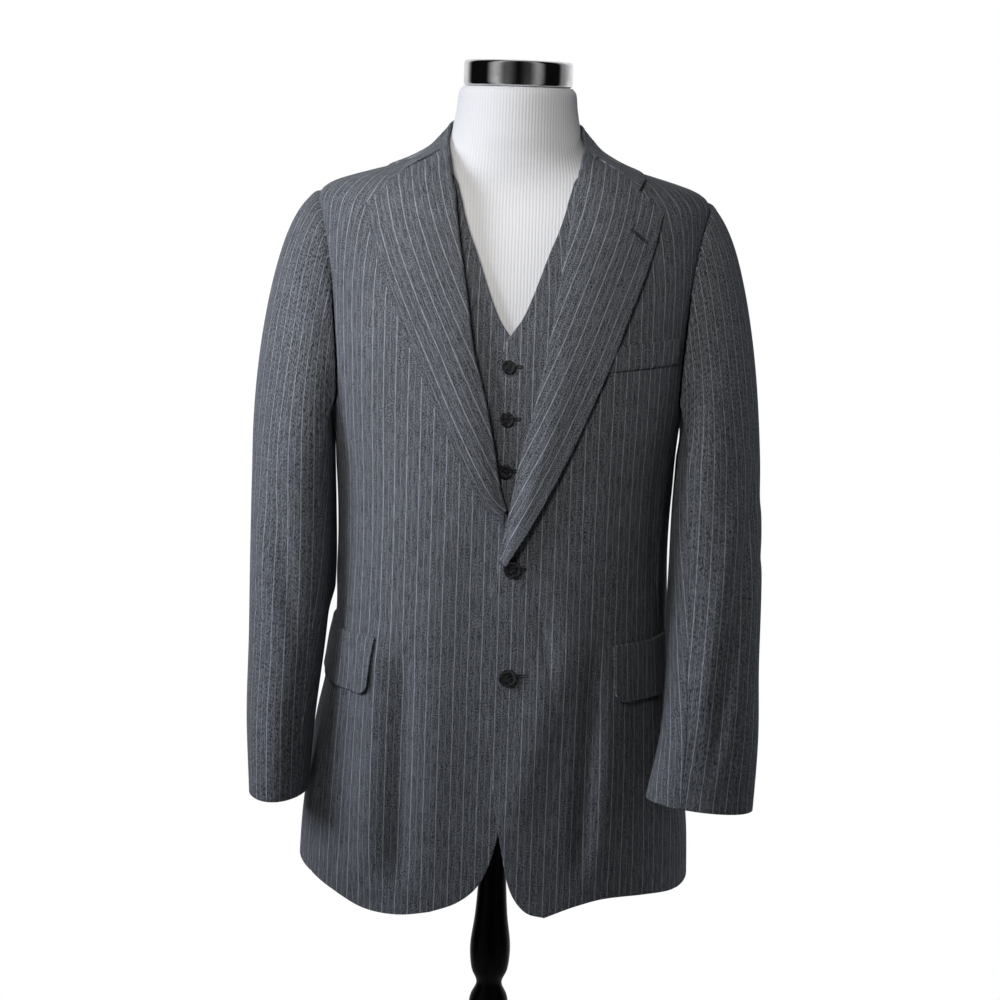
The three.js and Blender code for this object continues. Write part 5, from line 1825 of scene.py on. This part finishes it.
def finish_object(obj: Object, name: str, smooth: float = 40) -> Object:
    """Leaves edit mode, names the object, sets it at the origin and shades it smooth.

    Args:
        obj: The object.
        name: Its name.
        smooth: Largest angle between faces that are shaded as one, in degrees.

    Returns:
        The object.
    """
    if obj.mode == "EDIT":
        bpy.ops.object.mode_set(mode="OBJECT")
    activate(obj)
    bpy.ops.object.transform_apply(location=True, rotation=True, scale=True)
    bpy.ops.object.shade_smooth_by_angle(angle=math.radians(smooth))
    obj.name = obj.data.name = name
    return obj


def pick(obj: Object, kind: str, wanted: Callable[[Vector], bool]) -> None:
    """Selects in edit mode only the vertices or faces whose middle is wanted.

    Args:
        obj: The object in edit mode.
        kind: "VERT" or "FACE".
        wanted: Whether a point in the object's own frame is chosen.
    """
    bpy.ops.mesh.select_mode(type=kind)
    bpy.ops.mesh.select_all(action="DESELECT")
    mesh = bmesh.from_edit_mesh(obj.data)
    if kind == "VERT":
        for vert in mesh.verts:
            vert.select = wanted(vert.co)
    else:
        for face in mesh.faces:
            face.select = wanted(face.calc_center_median())
    mesh.select_flush_mode()
    bmesh.update_edit_mesh(obj.data)


@dataclass(frozen=True)
class ButtonShape:
    """Four-hole button with a raised rim: its radius and height, and its holes' radius and spread."""

    radius: float
    height: float
    hole: float
    spread: float

    def make(self) -> Object:
        """One button at the origin, its back on the ground and its face up."""
        r, h = self.radius * MM, self.height * MM
        obj = added(
            bpy.ops.mesh.primitive_cylinder_add, vertices=56, radius=r, depth=h, location=(0, 0, h / 2)
        )
        bpy.ops.object.transform_apply(location=True)
        bpy.ops.object.mode_set(mode="EDIT")
        pick(obj, "FACE", lambda p: p.z > 0.99 * h)
        bpy.ops.mesh.inset(thickness=0.22 * r)
        bpy.ops.mesh.inset(thickness=0.10 * r)
        bpy.ops.transform.translate(value=(0, 0, -0.27 * h))
        bpy.ops.mesh.inset(thickness=0.2 * r)
        pick(obj, "FACE", lambda p: p.z < 0.01 * h)
        bpy.ops.transform.resize(value=(0.84, 0.84, 1))
        bpy.ops.object.mode_set(mode="OBJECT")
        apply_modifier(obj, "BEVEL", width=0.09 * r, segments=3, limit_method="ANGLE", angle_limit=0.4)
        s = self.spread * MM
        for x, y in ((s, s), (-s, s), (s, -s), (-s, -s)):
            drill = added(
                bpy.ops.mesh.primitive_cylinder_add, vertices=16, radius=self.hole * MM, depth=3 * h,
                location=(x, y, h / 2),
            )
            apply_modifier(obj, "BOOLEAN", object=drill, operation="DIFFERENCE")
            bpy.data.objects.remove(drill)
        return finish_object(obj, "button_model", 35)

    def make_thread(self) -> Object:
        """Two bars of thread between the holes, and the shank below."""
        s, h, t = self.spread * MM, self.height * MM, self.hole * 0.8 * MM
        parts = []
        for y in (s, -s):
            bar = added(
                bpy.ops.mesh.primitive_cylinder_add, vertices=12, radius=t, depth=2 * s + t,
                location=(0, y, 0.72 * h), rotation=(0, math.pi / 2, 0),
            )
            edit_all()
            bpy.ops.mesh.bevel(offset=0.35 * t, segments=2)
            bpy.ops.object.mode_set(mode="OBJECT")
            shanks = [
                added(
                    bpy.ops.mesh.primitive_cylinder_add, vertices=12, radius=t, depth=0.7 * h,
                    location=(x, y, 0.4 * h),
                )
                for x in (s, -s)
            ]
            parts += [bar, *shanks]
        bpy.ops.object.select_all(action="DESELECT")
        for part in parts:
            part.select_set(True)
        bpy.context.view_layer.objects.active = parts[0]
        bpy.ops.object.join()
        return finish_object(parts[0], "thread_model")


def placed_copy(model: Object, name: str, at: Vector, out: Vector, spin: float = 0.0) -> Object:
    """Copy of a model with its own mesh, its foot at a place and its face turned out.

    Args:
        model: The model, at the origin and facing up.
        name: The copy's name.
        at: Where its foot goes, in metres.
        out: The way that it faces.
        spin: Turn about that way, in degrees.

    Returns:
        The copy.
    """
    obj = copy_of(model)
    side = Vector((1, 0, 0))
    up = out.cross(side).normalized()
    turn = Matrix((up.cross(out).normalized(), up, out)).transposed().to_4x4()
    obj.matrix_world = Matrix.Translation(at) @ turn @ Matrix.Rotation(math.radians(spin), 4, "Z")
    return finish_object(obj, name)


@dataclass(frozen=True)
class Buttonhole:
    """Worked buttonhole: a stitched rim round a slit.

    Attributes:
        name: Name of the piece.
        length: Its length.
        gauge: Thickness of the stitched rim.
    """

    name: str
    length: float
    gauge: float = 0.75

    def make(self, at: Vector, out: Vector, spin: float) -> Piece:
        """Makes it on the cloth.

        Args:
            at: Its middle, in metres.
            out: The way that the cloth faces.
            spin: Its slope, in degrees.

        Returns:
            The piece.
        """
        wide, gauge = 1.15 * MM, self.gauge * MM
        obj = added(
            bpy.ops.mesh.primitive_torus_add, major_segments=28, minor_segments=10, major_radius=wide,
            minor_radius=gauge,
        )
        bpy.ops.object.mode_set(mode="EDIT")
        half = (self.length / 2) * MM - wide - gauge
        for sign in (1, -1):
            pick(obj, "VERT", lambda p, sign=sign: p.x * sign > 1e-5)
            bpy.ops.transform.translate(value=(sign * half, 0, 0))
        bpy.ops.mesh.select_all(action="SELECT")
        bpy.ops.transform.resize(value=(1, 1, 0.7), center_override=(0, 0, 0))
        bpy.ops.object.mode_set(mode="OBJECT")
        shown = placed_copy(obj, self.name, at, out, spin)
        bpy.data.objects.remove(obj)
        return Piece(shown, "button")


@dataclass
class Fastenings:
    """Buttons, their thread and their buttonholes.

    A blazer row is a button's name, distance and height, and how far on its buttonhole lies.
    """

    jacket: ButtonShape = ButtonShape(9.5, 3.6, 0.95, 1.75)
    waistcoat: ButtonShape = ButtonShape(7.3, 2.6, 0.8, 1.4)
    jacket_rows: tuple[tuple[str, float, float, float], ...] = (
        ("jacket_button_upper", 10, 1047, 6.0), ("jacket_button_lower", 9, 934, 15.5),
    )
    waistcoat_top: float = 1253
    waistcoat_step: float = 53.5
    lapel_hole: Pair = (127.0, 1388.0)
    buttons: list[Piece] = field(default_factory=list)
    threads: list[Piece] = field(default_factory=list)

    @staticmethod
    def _spot(x: float, z: float, height: float) -> tuple[Vector, Vector]:
        """Place and outward way of a point of the front, in metres."""
        angle, level = np.array(BODY.angle_at(x, z)), np.array(float(z))
        at = BODY.point(angle, level, height) * MM
        return Vector(at), Vector(BODY.normal(angle, level))

    def build(self, blazer: Blazer) -> None:
        """Sews every button on and works every buttonhole."""
        levels = [self.waistcoat_top - self.waistcoat_step * k for k in range(5)]
        rows_below = [(f"waistcoat_button_{k + 1}", -0.5, z, 7.5) for k, z in enumerate(levels)]
        for shape, rows, lift, spin in (
            (self.jacket, self.jacket_rows, LAY_GAP, 12.0),
            (self.waistcoat, rows_below, WAISTCOAT_DEPTH + LAY_GAP, -8.0),
        ):
            model, thread = shape.make(), shape.make_thread()
            for k, (name, x, z, reach) in enumerate(rows):
                at, out = self._spot(x, z, lift)
                turn = spin + 37.0 * k
                self.buttons.append(Piece(placed_copy(model, name, at, out, turn), "button", name))
                sewn = placed_copy(thread, name + "_thread", at, out, turn)
                self.threads.append(Piece(sewn, "button"))
                at, out = self._spot(x + reach, z + 0.2 * (reach - 6), lift - LAY_GAP + 0.2)
                hole = Buttonhole(name.replace("button", "buttonhole"), shape.radius * 1.9)
                self.threads.append(hole.make(at, out, 0.0))
            bpy.data.objects.remove(model)
            bpy.data.objects.remove(thread)
        self.threads.append(self._lapel_hole(blazer))

    def _lapel_hole(self, blazer: Blazer) -> Piece:
        """Buttonhole near the upper corner of the left lapel."""
        grid = blazer.lapels[Side.LEFT].outer
        away = np.linalg.norm(grid[..., [0, 2]] - np.array(self.lapel_hole), axis=-1)
        i, j = np.unravel_index(np.argmin(away), away.shape)
        out = np.cross(grid[i, j + 1] - grid[i, j - 1], grid[i + 1, j] - grid[i - 1, j])
        out = out / np.linalg.norm(out) * -np.sign(out[1])
        at = Vector((grid[i, j] + out * 0.2) * MM)
        return Buttonhole("lapel_buttonhole", 23.0).make(at, Vector(out), -32.0)

    def dress(self, horn: Horn, twist: Twist) -> None:
        """Gives the buttons their horn and the stitching its thread."""
        settle_all(self.buttons, horn.material())
        settle_all(self.threads, twist.material())


# ---- the form and stand


def turned(name: str, profile: Pairs, sides: int = 96) -> Object:
    """Solid turned about the post's axis, drawn up ring by ring from a disc.

    Args:
        name: The piece's name.
        profile: Radius and height of each ring, rising, in millimetres.
        sides: Faces round it.

    Returns:
        The object.
    """
    radius, z = profile[0]
    obj = added(
        bpy.ops.mesh.primitive_circle_add, vertices=sides, radius=radius * MM, fill_type="NGON",
        location=(0, 0, z * MM),
    )
    edit_all()
    for next_radius, next_z in profile[1:]:
        share = next_radius / radius
        draw_up(z, next_z, (share, share))
        radius, z = next_radius, next_z
    face_outwards()
    return finish_object(obj, name, 50)


def eased_profile(rows: Pairs, samples: int = 4) -> list[Pair]:
    """Smooth rising profile through radius and height rows."""
    line = through(rows, samples)
    keep = np.concatenate([[True], np.diff(np.maximum.accumulate(line[:, 1])) > 1e-6])
    return [(float(r), float(z)) for r, z in line[keep]]


@dataclass
class DressForm:
    """Torso form in a white rib-knit cover, with a polished cap on the neck.

    A cap row is a radius and the height above the cap's underside.
    """

    low: float = 790.0
    high: float = 1533.0
    step: float = 5.0
    sides: int = 120
    cap: Pairs = (
        (54, 0), (56, 0.6), (56.7, 1.6), (57, 3), (57, 12), (57, 22.5), (56.7, 24.2), (55.8, 25.5),
        (54.5, 26.2), (53, 26.5),
    )
    cap_bottom: float = 1533.5
    torso: Piece | None = None
    neck_cap: Piece | None = None

    def build(self) -> None:
        """Draws the torso up from its underside and turns the cap."""
        levels = np.concatenate([
            np.arange(self.low, 1380, 10.0), np.arange(1380, 1526, self.step),
            [1528.0, 1530.5, 1532.0, self.high],
        ])
        half, front, back = (FORM_RINGS.read(name, levels) for name in ("half", "front", "back"))
        foot = (0, 0, self.low * MM)
        obj = added(
            bpy.ops.mesh.primitive_circle_add, vertices=self.sides, radius=1.0, fill_type="NGON",
            location=foot,
        )
        bpy.ops.object.transform_apply(location=True)
        edit_all()
        bpy.ops.transform.resize(value=(half[0] * MM, back[0] * MM, 1), center_override=foot)
        for k in range(1, len(levels)):
            draw_up(levels[k - 1], levels[k], (half[k] / half[k - 1], back[k] / back[k - 1]))
        for k, level in enumerate(levels):
            near = level * MM
            pick(obj, "VERT", lambda p, near=near: abs(p.z - near) < 1e-5 and p.y < 0)
            bpy.ops.transform.resize(value=(1, front[k] / back[k], 1), center_override=(0, 0, near))
        face_outwards()
        finish_object(obj, "form_cover", 50)
        self._map(obj.data)
        self.torso = Piece(obj, "form_cover", "form_torso")
        rows = [(r, self.cap_bottom + z) for r, z in self.cap]
        self.neck_cap = Piece(turned("neck_cap_ring", rows, 128), "polished_cap", "neck_cap")

    def _map(self, mesh: Mesh) -> None:
        """Lays the knit's map round the form, with its ribs plumb."""
        flat = np.empty(len(mesh.vertices) * 3)
        mesh.vertices.foreach_get("co", flat)
        x, y, z = flat.reshape(-1, 3).T / MM
        angle = np.degrees(np.arctan2(np.abs(x), -y))
        across = FORM.girth(angle, np.clip(z, self.low, self.high)) * np.sign(x)
        lay_map(mesh, np.stack([across, z], 1))

    def dress(self, knit: Ribbed, chrome: Polished) -> None:
        """Covers the torso and plates the cap."""
        self.torso.settle(knit.material())
        self.neck_cap.settle(chrome.material())


@dataclass
class Stand:
    """Turned post on a hub with three scrolled legs; a row is a distance from the axis and a height."""

    post: Pairs = (
        (17, 250), (21, 262), (21, 300), (16, 330), (15, 400), (23, 480), (21, 535), (14, 553),
        (20, 569), (22.3, 595), (18, 631), (15.5, 670), (14.5, 710), (15, 778), (30, 782), (30, 789.7),
    )
    hub: Pairs = (
        (20, 128), (34, 138), (39, 146), (39, 228), (34, 238), (26, 249.7),
    )
    leg_top: Pairs = (
        (39.3, 222), (62, 213), (84, 180), (105, 137), (128, 89), (150, 58), (172, 41), (200, 31), (225, 20),
    )
    leg_bottom: Pairs = (
        (39.3, 152), (62, 141.5), (80, 122), (95, 99), (109, 74), (124, 48), (146, 19), (168, 5), (187, 0),
    )
    thickness: float = 26.0
    pieces: list[Piece] = field(default_factory=list)

    def build(self) -> None:
        """Turns the post and the hub and shapes one leg, copied twice."""
        post = eased_profile(self.post[:-3], 5) + list(self.post[-3:])
        for name, profile in (("post", post), ("hub", eased_profile(self.hub, 3))):
            obj = turned(f"turned_{name}", profile, 72)
            self.pieces.append(Piece(obj, "dark_wood", f"stand_{name}"))
        first = self._leg()
        for k in range(3):
            leg = copy_of(first)
            leg.rotation_euler = (0, 0, math.radians(120 * k))
            finish_object(leg, f"scrolled_leg_{k + 1}", 35)
            self.pieces.append(Piece(leg, "dark_wood", f"stand_leg_{k + 1}"))
        bpy.data.objects.remove(first)

    def _leg(self) -> Object:
        """A leg along +X, drawn out from its root section by section."""
        top, bottom = through(self.leg_top, 4), through(self.leg_bottom, 4)
        root = (top[0] + bottom[0]) / 2 * MM
        middle = (root[0], 0, root[1])
        obj = added(
            bpy.ops.mesh.primitive_plane_add, size=1, location=middle, rotation=(0, math.pi / 2, 0)
        )
        bpy.ops.object.transform_apply(location=True, rotation=True)
        edit_all()
        tall = (top[0] - bottom[0])[1] * MM
        bpy.ops.transform.resize(value=(1, self.thickness * MM, tall), center_override=middle)
        for k in range(1, len(top)):
            bpy.ops.mesh.extrude_region_move(TRANSFORM_OT_translate={"value": (0, 0, 0)})
            ends = [vert for vert in bmesh.from_edit_mesh(obj.data).verts if vert.select]
            mean = sum(vert.co.z for vert in ends) / len(ends)
            upper = [vert.index for vert in ends if vert.co.z > mean]
            lower = [vert.index for vert in ends if vert.co.z <= mean]
            for chosen, line in ((upper, top), (lower, bottom)):
                pick_numbers(obj, chosen)
                way = (line[k] - line[k - 1]) * MM
                bpy.ops.transform.translate(value=(way[0], 0, way[1]))
            pick_numbers(obj, upper + lower)
        face_outwards()
        bpy.ops.object.mode_set(mode="OBJECT")
        apply_modifier(obj, "BEVEL", width=5 * MM, segments=4, limit_method="ANGLE", angle_limit=1.0)
        return obj

    def dress(self, wood: Lacquered) -> None:
        """Lacquers every piece of the stand."""
        settle_all(self.pieces, wood.material())


# ---- studio

# What the polished cap reflects, as greys at shares of a full turn. The turn starts and ends straight
# ahead of the object, passes the viewer's left at a quarter and is behind the object at a half. A dark
# flag hangs ahead with a pale strip beside it on each hand, black flags hang at the sides, and a broad
# white screen stands behind.
PANELS = (
    (0.0, "#101010"), (0.08, "#606060"), (0.14, "#d0d0d0"), (0.2, "#101010"), (0.32, "#101010"),
    (0.4, "#f0f0f0"), (0.6, "#ffffff"), (0.7, "#909090"), (0.74, "#101010"), (0.83, "#101010"),
    (0.88, "#a0a0a0"), (0.94, "#404040"), (1.0, "#101010"),
)
FILL_STRENGTH = 0.025  # of the soft light from all round


@dataclass(frozen=True)
class Lamp:
    """Soft square light: where it stands, what it is aimed at, its size, power and spread."""

    name: str
    at: tuple[float, float, float]
    target: tuple[float, float, float]
    size: float
    power: float
    tint: str = "#ffffff"
    spread: float = 180

    def build(self) -> None:
        """Adds the light."""
        data = bpy.data.lights.new(self.name, "AREA")
        data.shape, data.size, data.energy = "SQUARE", self.size, self.power
        data.color = colour(self.tint)[:3]
        data.spread = math.radians(self.spread)
        obj = link_new(self.name, data)
        way = Vector(self.target) - Vector(self.at)
        obj.rotation_euler = way.to_track_quat("-Z", "Y").to_euler()
        obj.location = self.at
        obj.visible_camera = obj.visible_glossy = False


@dataclass(frozen=True)
class Studio:
    """Camera, lights and a plain pale floor.

    Attributes:
        eye: Where the camera stands.
        pitch: How far it looks down, in degrees.
        roll: How far it is turned about its view, in degrees.
        lens: Its focal length for a 36 mm sensor.
        lamps: The lights.
        floor: Radius of the floor.
    """

    eye: tuple[float, float, float] = (-0.005, -2.4, 1.494)
    pitch: float = 9.404
    roll: float = 1.85
    lens: float = 81.51
    lamps: tuple[Lamp, ...] = (
        Lamp("key", (-1.6, -0.75, 1.8), (-0.02, -0.1, 1.1), 0.8, 3.9, "#eef3ff", 60),
        Lamp("front", (-0.55, -1.7, 2.25), (-0.08, 0, 1.45), 0.6, 1.5, "#fffdfa", 42),
        Lamp("rim", (1.9, 0.5, 1.3), (0.2, 0, 1.0), 1.0, 2.0, "#f2f8ff", 90),
        Lamp("back", (-1.3, 2.4, 2.2), (0, 0, 1.2), 1.6, 26),
    )
    floor: float = 1.28

    def build(self) -> None:
        """Sets up the camera, the lights, the surroundings and the floor."""
        bpy.context.scene.view_settings.view_transform = "Standard"
        data = bpy.data.cameras.new("camera")
        data.lens, data.sensor_width = self.lens, 36.0
        data.dof.use_dof = False
        camera = link_new("camera", data)
        camera.location = self.eye
        turn = Matrix.Rotation(math.radians(90 - self.pitch), 4, "X")
        turn = turn @ Matrix.Rotation(math.radians(self.roll), 4, "Z")
        camera.rotation_euler = turn.to_euler()
        bpy.context.scene.camera = camera
        for lamp in self.lamps:
            lamp.build()
        self._surroundings()
        self._floor()

    @staticmethod
    def _surroundings() -> None:
        """White to the camera, panels to what shines, and soft grey light for the rest."""
        world = bpy.data.worlds.new("studio")
        bpy.context.scene.world = world
        world.use_nodes = True
        tree = world.node_tree
        tree.nodes.clear()
        axes = add_node(tree, Node.AXES, add_node(tree, Node.WAY)).node.outputs
        bearing = add_node(tree, Node.BEARING, axes[0], axes[1])
        stops = add_node(tree, Node.STOPS, add_node(tree, Node.SHARE, bearing, -math.pi, math.pi))
        ramp = stops.node.color_ramp
        ramp.interpolation = "EASE"
        first, *between, last = PANELS
        for element, (position, code) in zip(ramp.elements, (first, last)):
            element.position = position
            element.color = colour(code)
        for position, code in between:
            ramp.elements.new(position).color = colour(code)
        soft = add_node(tree, Node.LIGHT, colour("#f6f6f6"), FILL_STRENGTH)
        white = add_node(tree, Node.LIGHT, colour("#ffffff"), 1.0)
        panels = add_node(tree, Node.LIGHT, stops, 1.0)
        rays = add_node(tree, Node.RAYS).node.outputs
        shine = add_node(tree, Node.EITHER, rays["Is Glossy Ray"], soft, panels)
        seen = add_node(tree, Node.EITHER, rays["Is Camera Ray"], shine, white)
        tree.links.new(seen, tree.nodes.new("ShaderNodeOutputWorld").inputs["Surface"])

    def _floor(self) -> None:
        """Plain pale floor, just below the stand's feet."""
        floor = added(
            bpy.ops.mesh.primitive_circle_add, vertices=96, radius=self.floor, fill_type="NGON",
            location=(0, 0, -0.0005),
        )
        floor.name = "studio_floor"
        look = Look("pale_floor")
        mottle = look.add(Node.NOISE, look.add(Node.PLACE), 3, 2)
        base = look.add(Node.MIX, mottle, colour("#f4f4f4"), colour("#fbfbfb"))
        floor.data.materials.append(
            look.finish(base, Emission_Color=base, Roughness=0.95, Emission_Strength=0.25)
        )


# ---- the two sides

SLEEVE_COLUMNS = ("z", "x", "y", "across", "along", "turn")
LEFT = HalfCut(
    side=Side.LEFT,
    hem=Table(HEM_COLUMNS, (
        (22, 678), (34, 690), (44, 696), (58, 695), (73, 691), (95, 696), (130, 703), (180, 704),
    )),
    edge=(
        (54.6, 678), (36, 683.3), (20, 703.4), (8.4, 749.4), (-7, 850), (-15.5, 950), (-14, 1005),
        (-4, 1045),
    ),
    roll=(
        (-4, 1045), (4.7, 1089), (18, 1163), (31.6, 1219), (42.4, 1277), (51, 1335), (59, 1390),
        (65, 1434), (67.5, 1448), (69.8, 1460),
    ),
    lapel_edge=((3, 1052), (22.5, 1085), (62, 1164), (99, 1251), (121, 1313), (150.7, 1407.5)),
    spring=7.0,
    dip=0.0,
    flap=FlapCut(117, 966, 60, -0.4),
    sleeve=SleeveCut(
        rows=Table(SLEEVE_COLUMNS, (
            (1150, 226.5, -20, 41, 66, 22), (1090, 226.5, -30, 44, 62, 26),
            (1020, 227, -44, 45, 57, 35), (950, 225.5, -64, 44, 54, 50),
            (870, 223, -91, 39, 54, 70), (802, 213, -117, 33, 56, 88),
        )),
        slant=-0.1,
        drop=0.55,
        folds=(
            Fold(((25, 1165), (60, 1010), (88, 820)), 11, -4.6, 0.2),
            Fold(((62, 1150), (92, 1010), (112, 850)), 9, 2.2, 0.25),
            Fold(((-20, 1090), (10, 1150), (60, 1185)), 9, -2.4, 0.3),
            Fold(((-60, 1120), (-20, 1060), (15, 1035)), 10, -2.0),
            Fold(((20, 930), (60, 900), (100, 890)), 9, 1.2),
            Fold(((-120, 1050), (-80, 960), (-60, 850)), 12, -2.0),
            Fold(((-147, 1200), (-145, 1130), (-148, 1020), (-155, 930)), 21, 10.0, 0.2),
        ),
    ),
    folds=(
        Fold(on_front((101, 985), (95, 830), (88, 700)), 11, -6.2, 0.25),
        Fold(on_front((116, 900), (112, 800), (108, 700)), 12, 2.0, 0.3),
        Fold(on_front((34, 1030), (50, 950), (60, 880)), 7, -1.6),
        Fold(on_front((84, 1010), (62, 940), (40, 870), (22, 800), (12, 740)), 25, 4.6, 0.25),
        Fold(on_front((40, 1120), (80, 1090), (130, 1075)), 16, -1.0),
        Fold(((68, 1190), (67, 1080), (69, 980)), 11, -1.8),
        Fold(on_front((150, 960), (150, 860), (156, 720)), 14, -2.2, 0.3),
        Fold(((95, 900), (96, 800), (97, 710)), 18, 2.2, 0.3),
        Fold(((90, 1195), (92, 1110), (93, 1030), (94, 930)), 28, 4.9, 0.32),
        Fold(((130, 1180), (135, 1000), (132, 800)), 20, -2.0, 0.3),
        Fold(((152, 1100), (150, 940), (153, 730)), 16, 2.0, 0.3),
        Fold(((120, 1060), (150, 1030), (172, 1020)), 12, -1.4),
    ),
    shift=3.0,
)
RIGHT = HalfCut(
    side=Side.RIGHT,
    hem=Table(HEM_COLUMNS, (
        (25, 680), (38, 673.5), (50, 675.5), (62, 689), (73, 699), (95, 705), (130, 705), (180, 704),
    )),
    edge=(
        (65, 680), (36, 691.6), (15.4, 710.5), (-1, 753), (-11, 840), (-18, 950), (-17, 1020),
        (-4.5, 1098),
    ),
    roll=(
        (-4.5, 1098), (5, 1119), (14.4, 1166), (25, 1217), (38.7, 1268), (47, 1322), (57, 1380),
        (65.5, 1434), (68, 1448), (70, 1460),
    ),
    lapel_edge=((1, 1093), (22, 1112), (60, 1183), (92.8, 1254), (120, 1316), (151.5, 1409)),
    spring=1.5,
    dip=OVERLAP_DEPTH,
    flap=FlapCut(128.5, 964, 60, 0),
    sleeve=SleeveCut(
        rows=Table(SLEEVE_COLUMNS, (
            (1150, 227, -16, 41.5, 66, 18), (1090, 226.5, -20, 43, 61, 14),
            (1020, 226, -28, 43.5, 58, 8), (950, 227.5, -38, 41, 57, 2),
            (870, 231, -52, 36.5, 56.5, -2), (790, 231, -66, 31, 57, -4),
        )),
        slant=0.0,
        drop=0.3,
        folds=(
            Fold(((72, 1120), (88, 1040), (104, 940)), 10, -4.0, 0.3),
            Fold(((48, 1110), (66, 1020), (82, 930)), 11, 2.4, 0.3),
            Fold(((30, 1010), (60, 980), (95, 975)), 9, -1.6),
            Fold(((85, 920), (92, 860), (95, 800)), 12, 1.4, 0.3),
            Fold(((-60, 1060), (-30, 1010), (0, 990)), 10, -1.8),
            Fold(((-110, 1040), (-85, 950), (-70, 840)), 12, -1.8),
            Fold(((-147, 1200), (-145, 1130), (-148, 1040), (-148, 968)), 20, 8.3, 0.15),
        ),
    ),
    folds=(
        Fold(on_front((126, 990), (129, 850), (128, 685)), 14, 6.2, 0.2),
        Fold(on_front((99, 970), (99, 850), (97, 685)), 12, -7.2, 0.2),
        Fold(on_front((66, 940), (64, 850), (60, 700)), 14, 1.4, 0.3),
        Fold(on_front((155, 970), (160, 850), (160, 700)), 12, -3.0, 0.2),
        Fold(on_front((40, 1140), (70, 1080), (110, 1050)), 12, -1.2),
        Fold(((68, 1190), (67, 1080), (69, 980)), 11, -1.8),
        Fold(((98, 900), (96, 800), (95, 712)), 18, 2.4, 0.3),
        Fold(((90, 1200), (92, 1110), (93, 1040), (95, 950)), 28, 5.9, 0.3),
        Fold(((99, 1000), (102, 920), (103, 850), (102, 770)), 22, 9.5, 0.3),
        Fold(((128, 1160), (133, 1010), (135, 800)), 20, -2.2, 0.3),
        Fold(((155, 1080), (151, 930), (150, 730)), 17, 1.8, 0.3),
        Fold(((125, 1040), (150, 1060), (170, 1050)), 12, -1.2),
    ),
    shift=9.0,
)


def main() -> None:
    """Builds the studio and every sub-assembly."""
    logging.basicConfig(level=logging.INFO, format="%(message)s")
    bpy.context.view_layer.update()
    Studio().build()
    stand = Stand()
    stand.build()
    stand.dress(Lacquered())
    form = DressForm()
    form.build()
    form.dress(Ribbed(), Polished())
    waistcoat = Waistcoat()
    waistcoat.build()
    waistcoat.dress(Suiting())
    blazer = Blazer((LEFT, RIGHT))
    blazer.build()
    blazer.dress(Suiting())
    fastenings = Fastenings()
    fastenings.build(blazer)
    fastenings.dress(Horn(), Twist())
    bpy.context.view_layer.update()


if __name__ == "__main__":
    main()
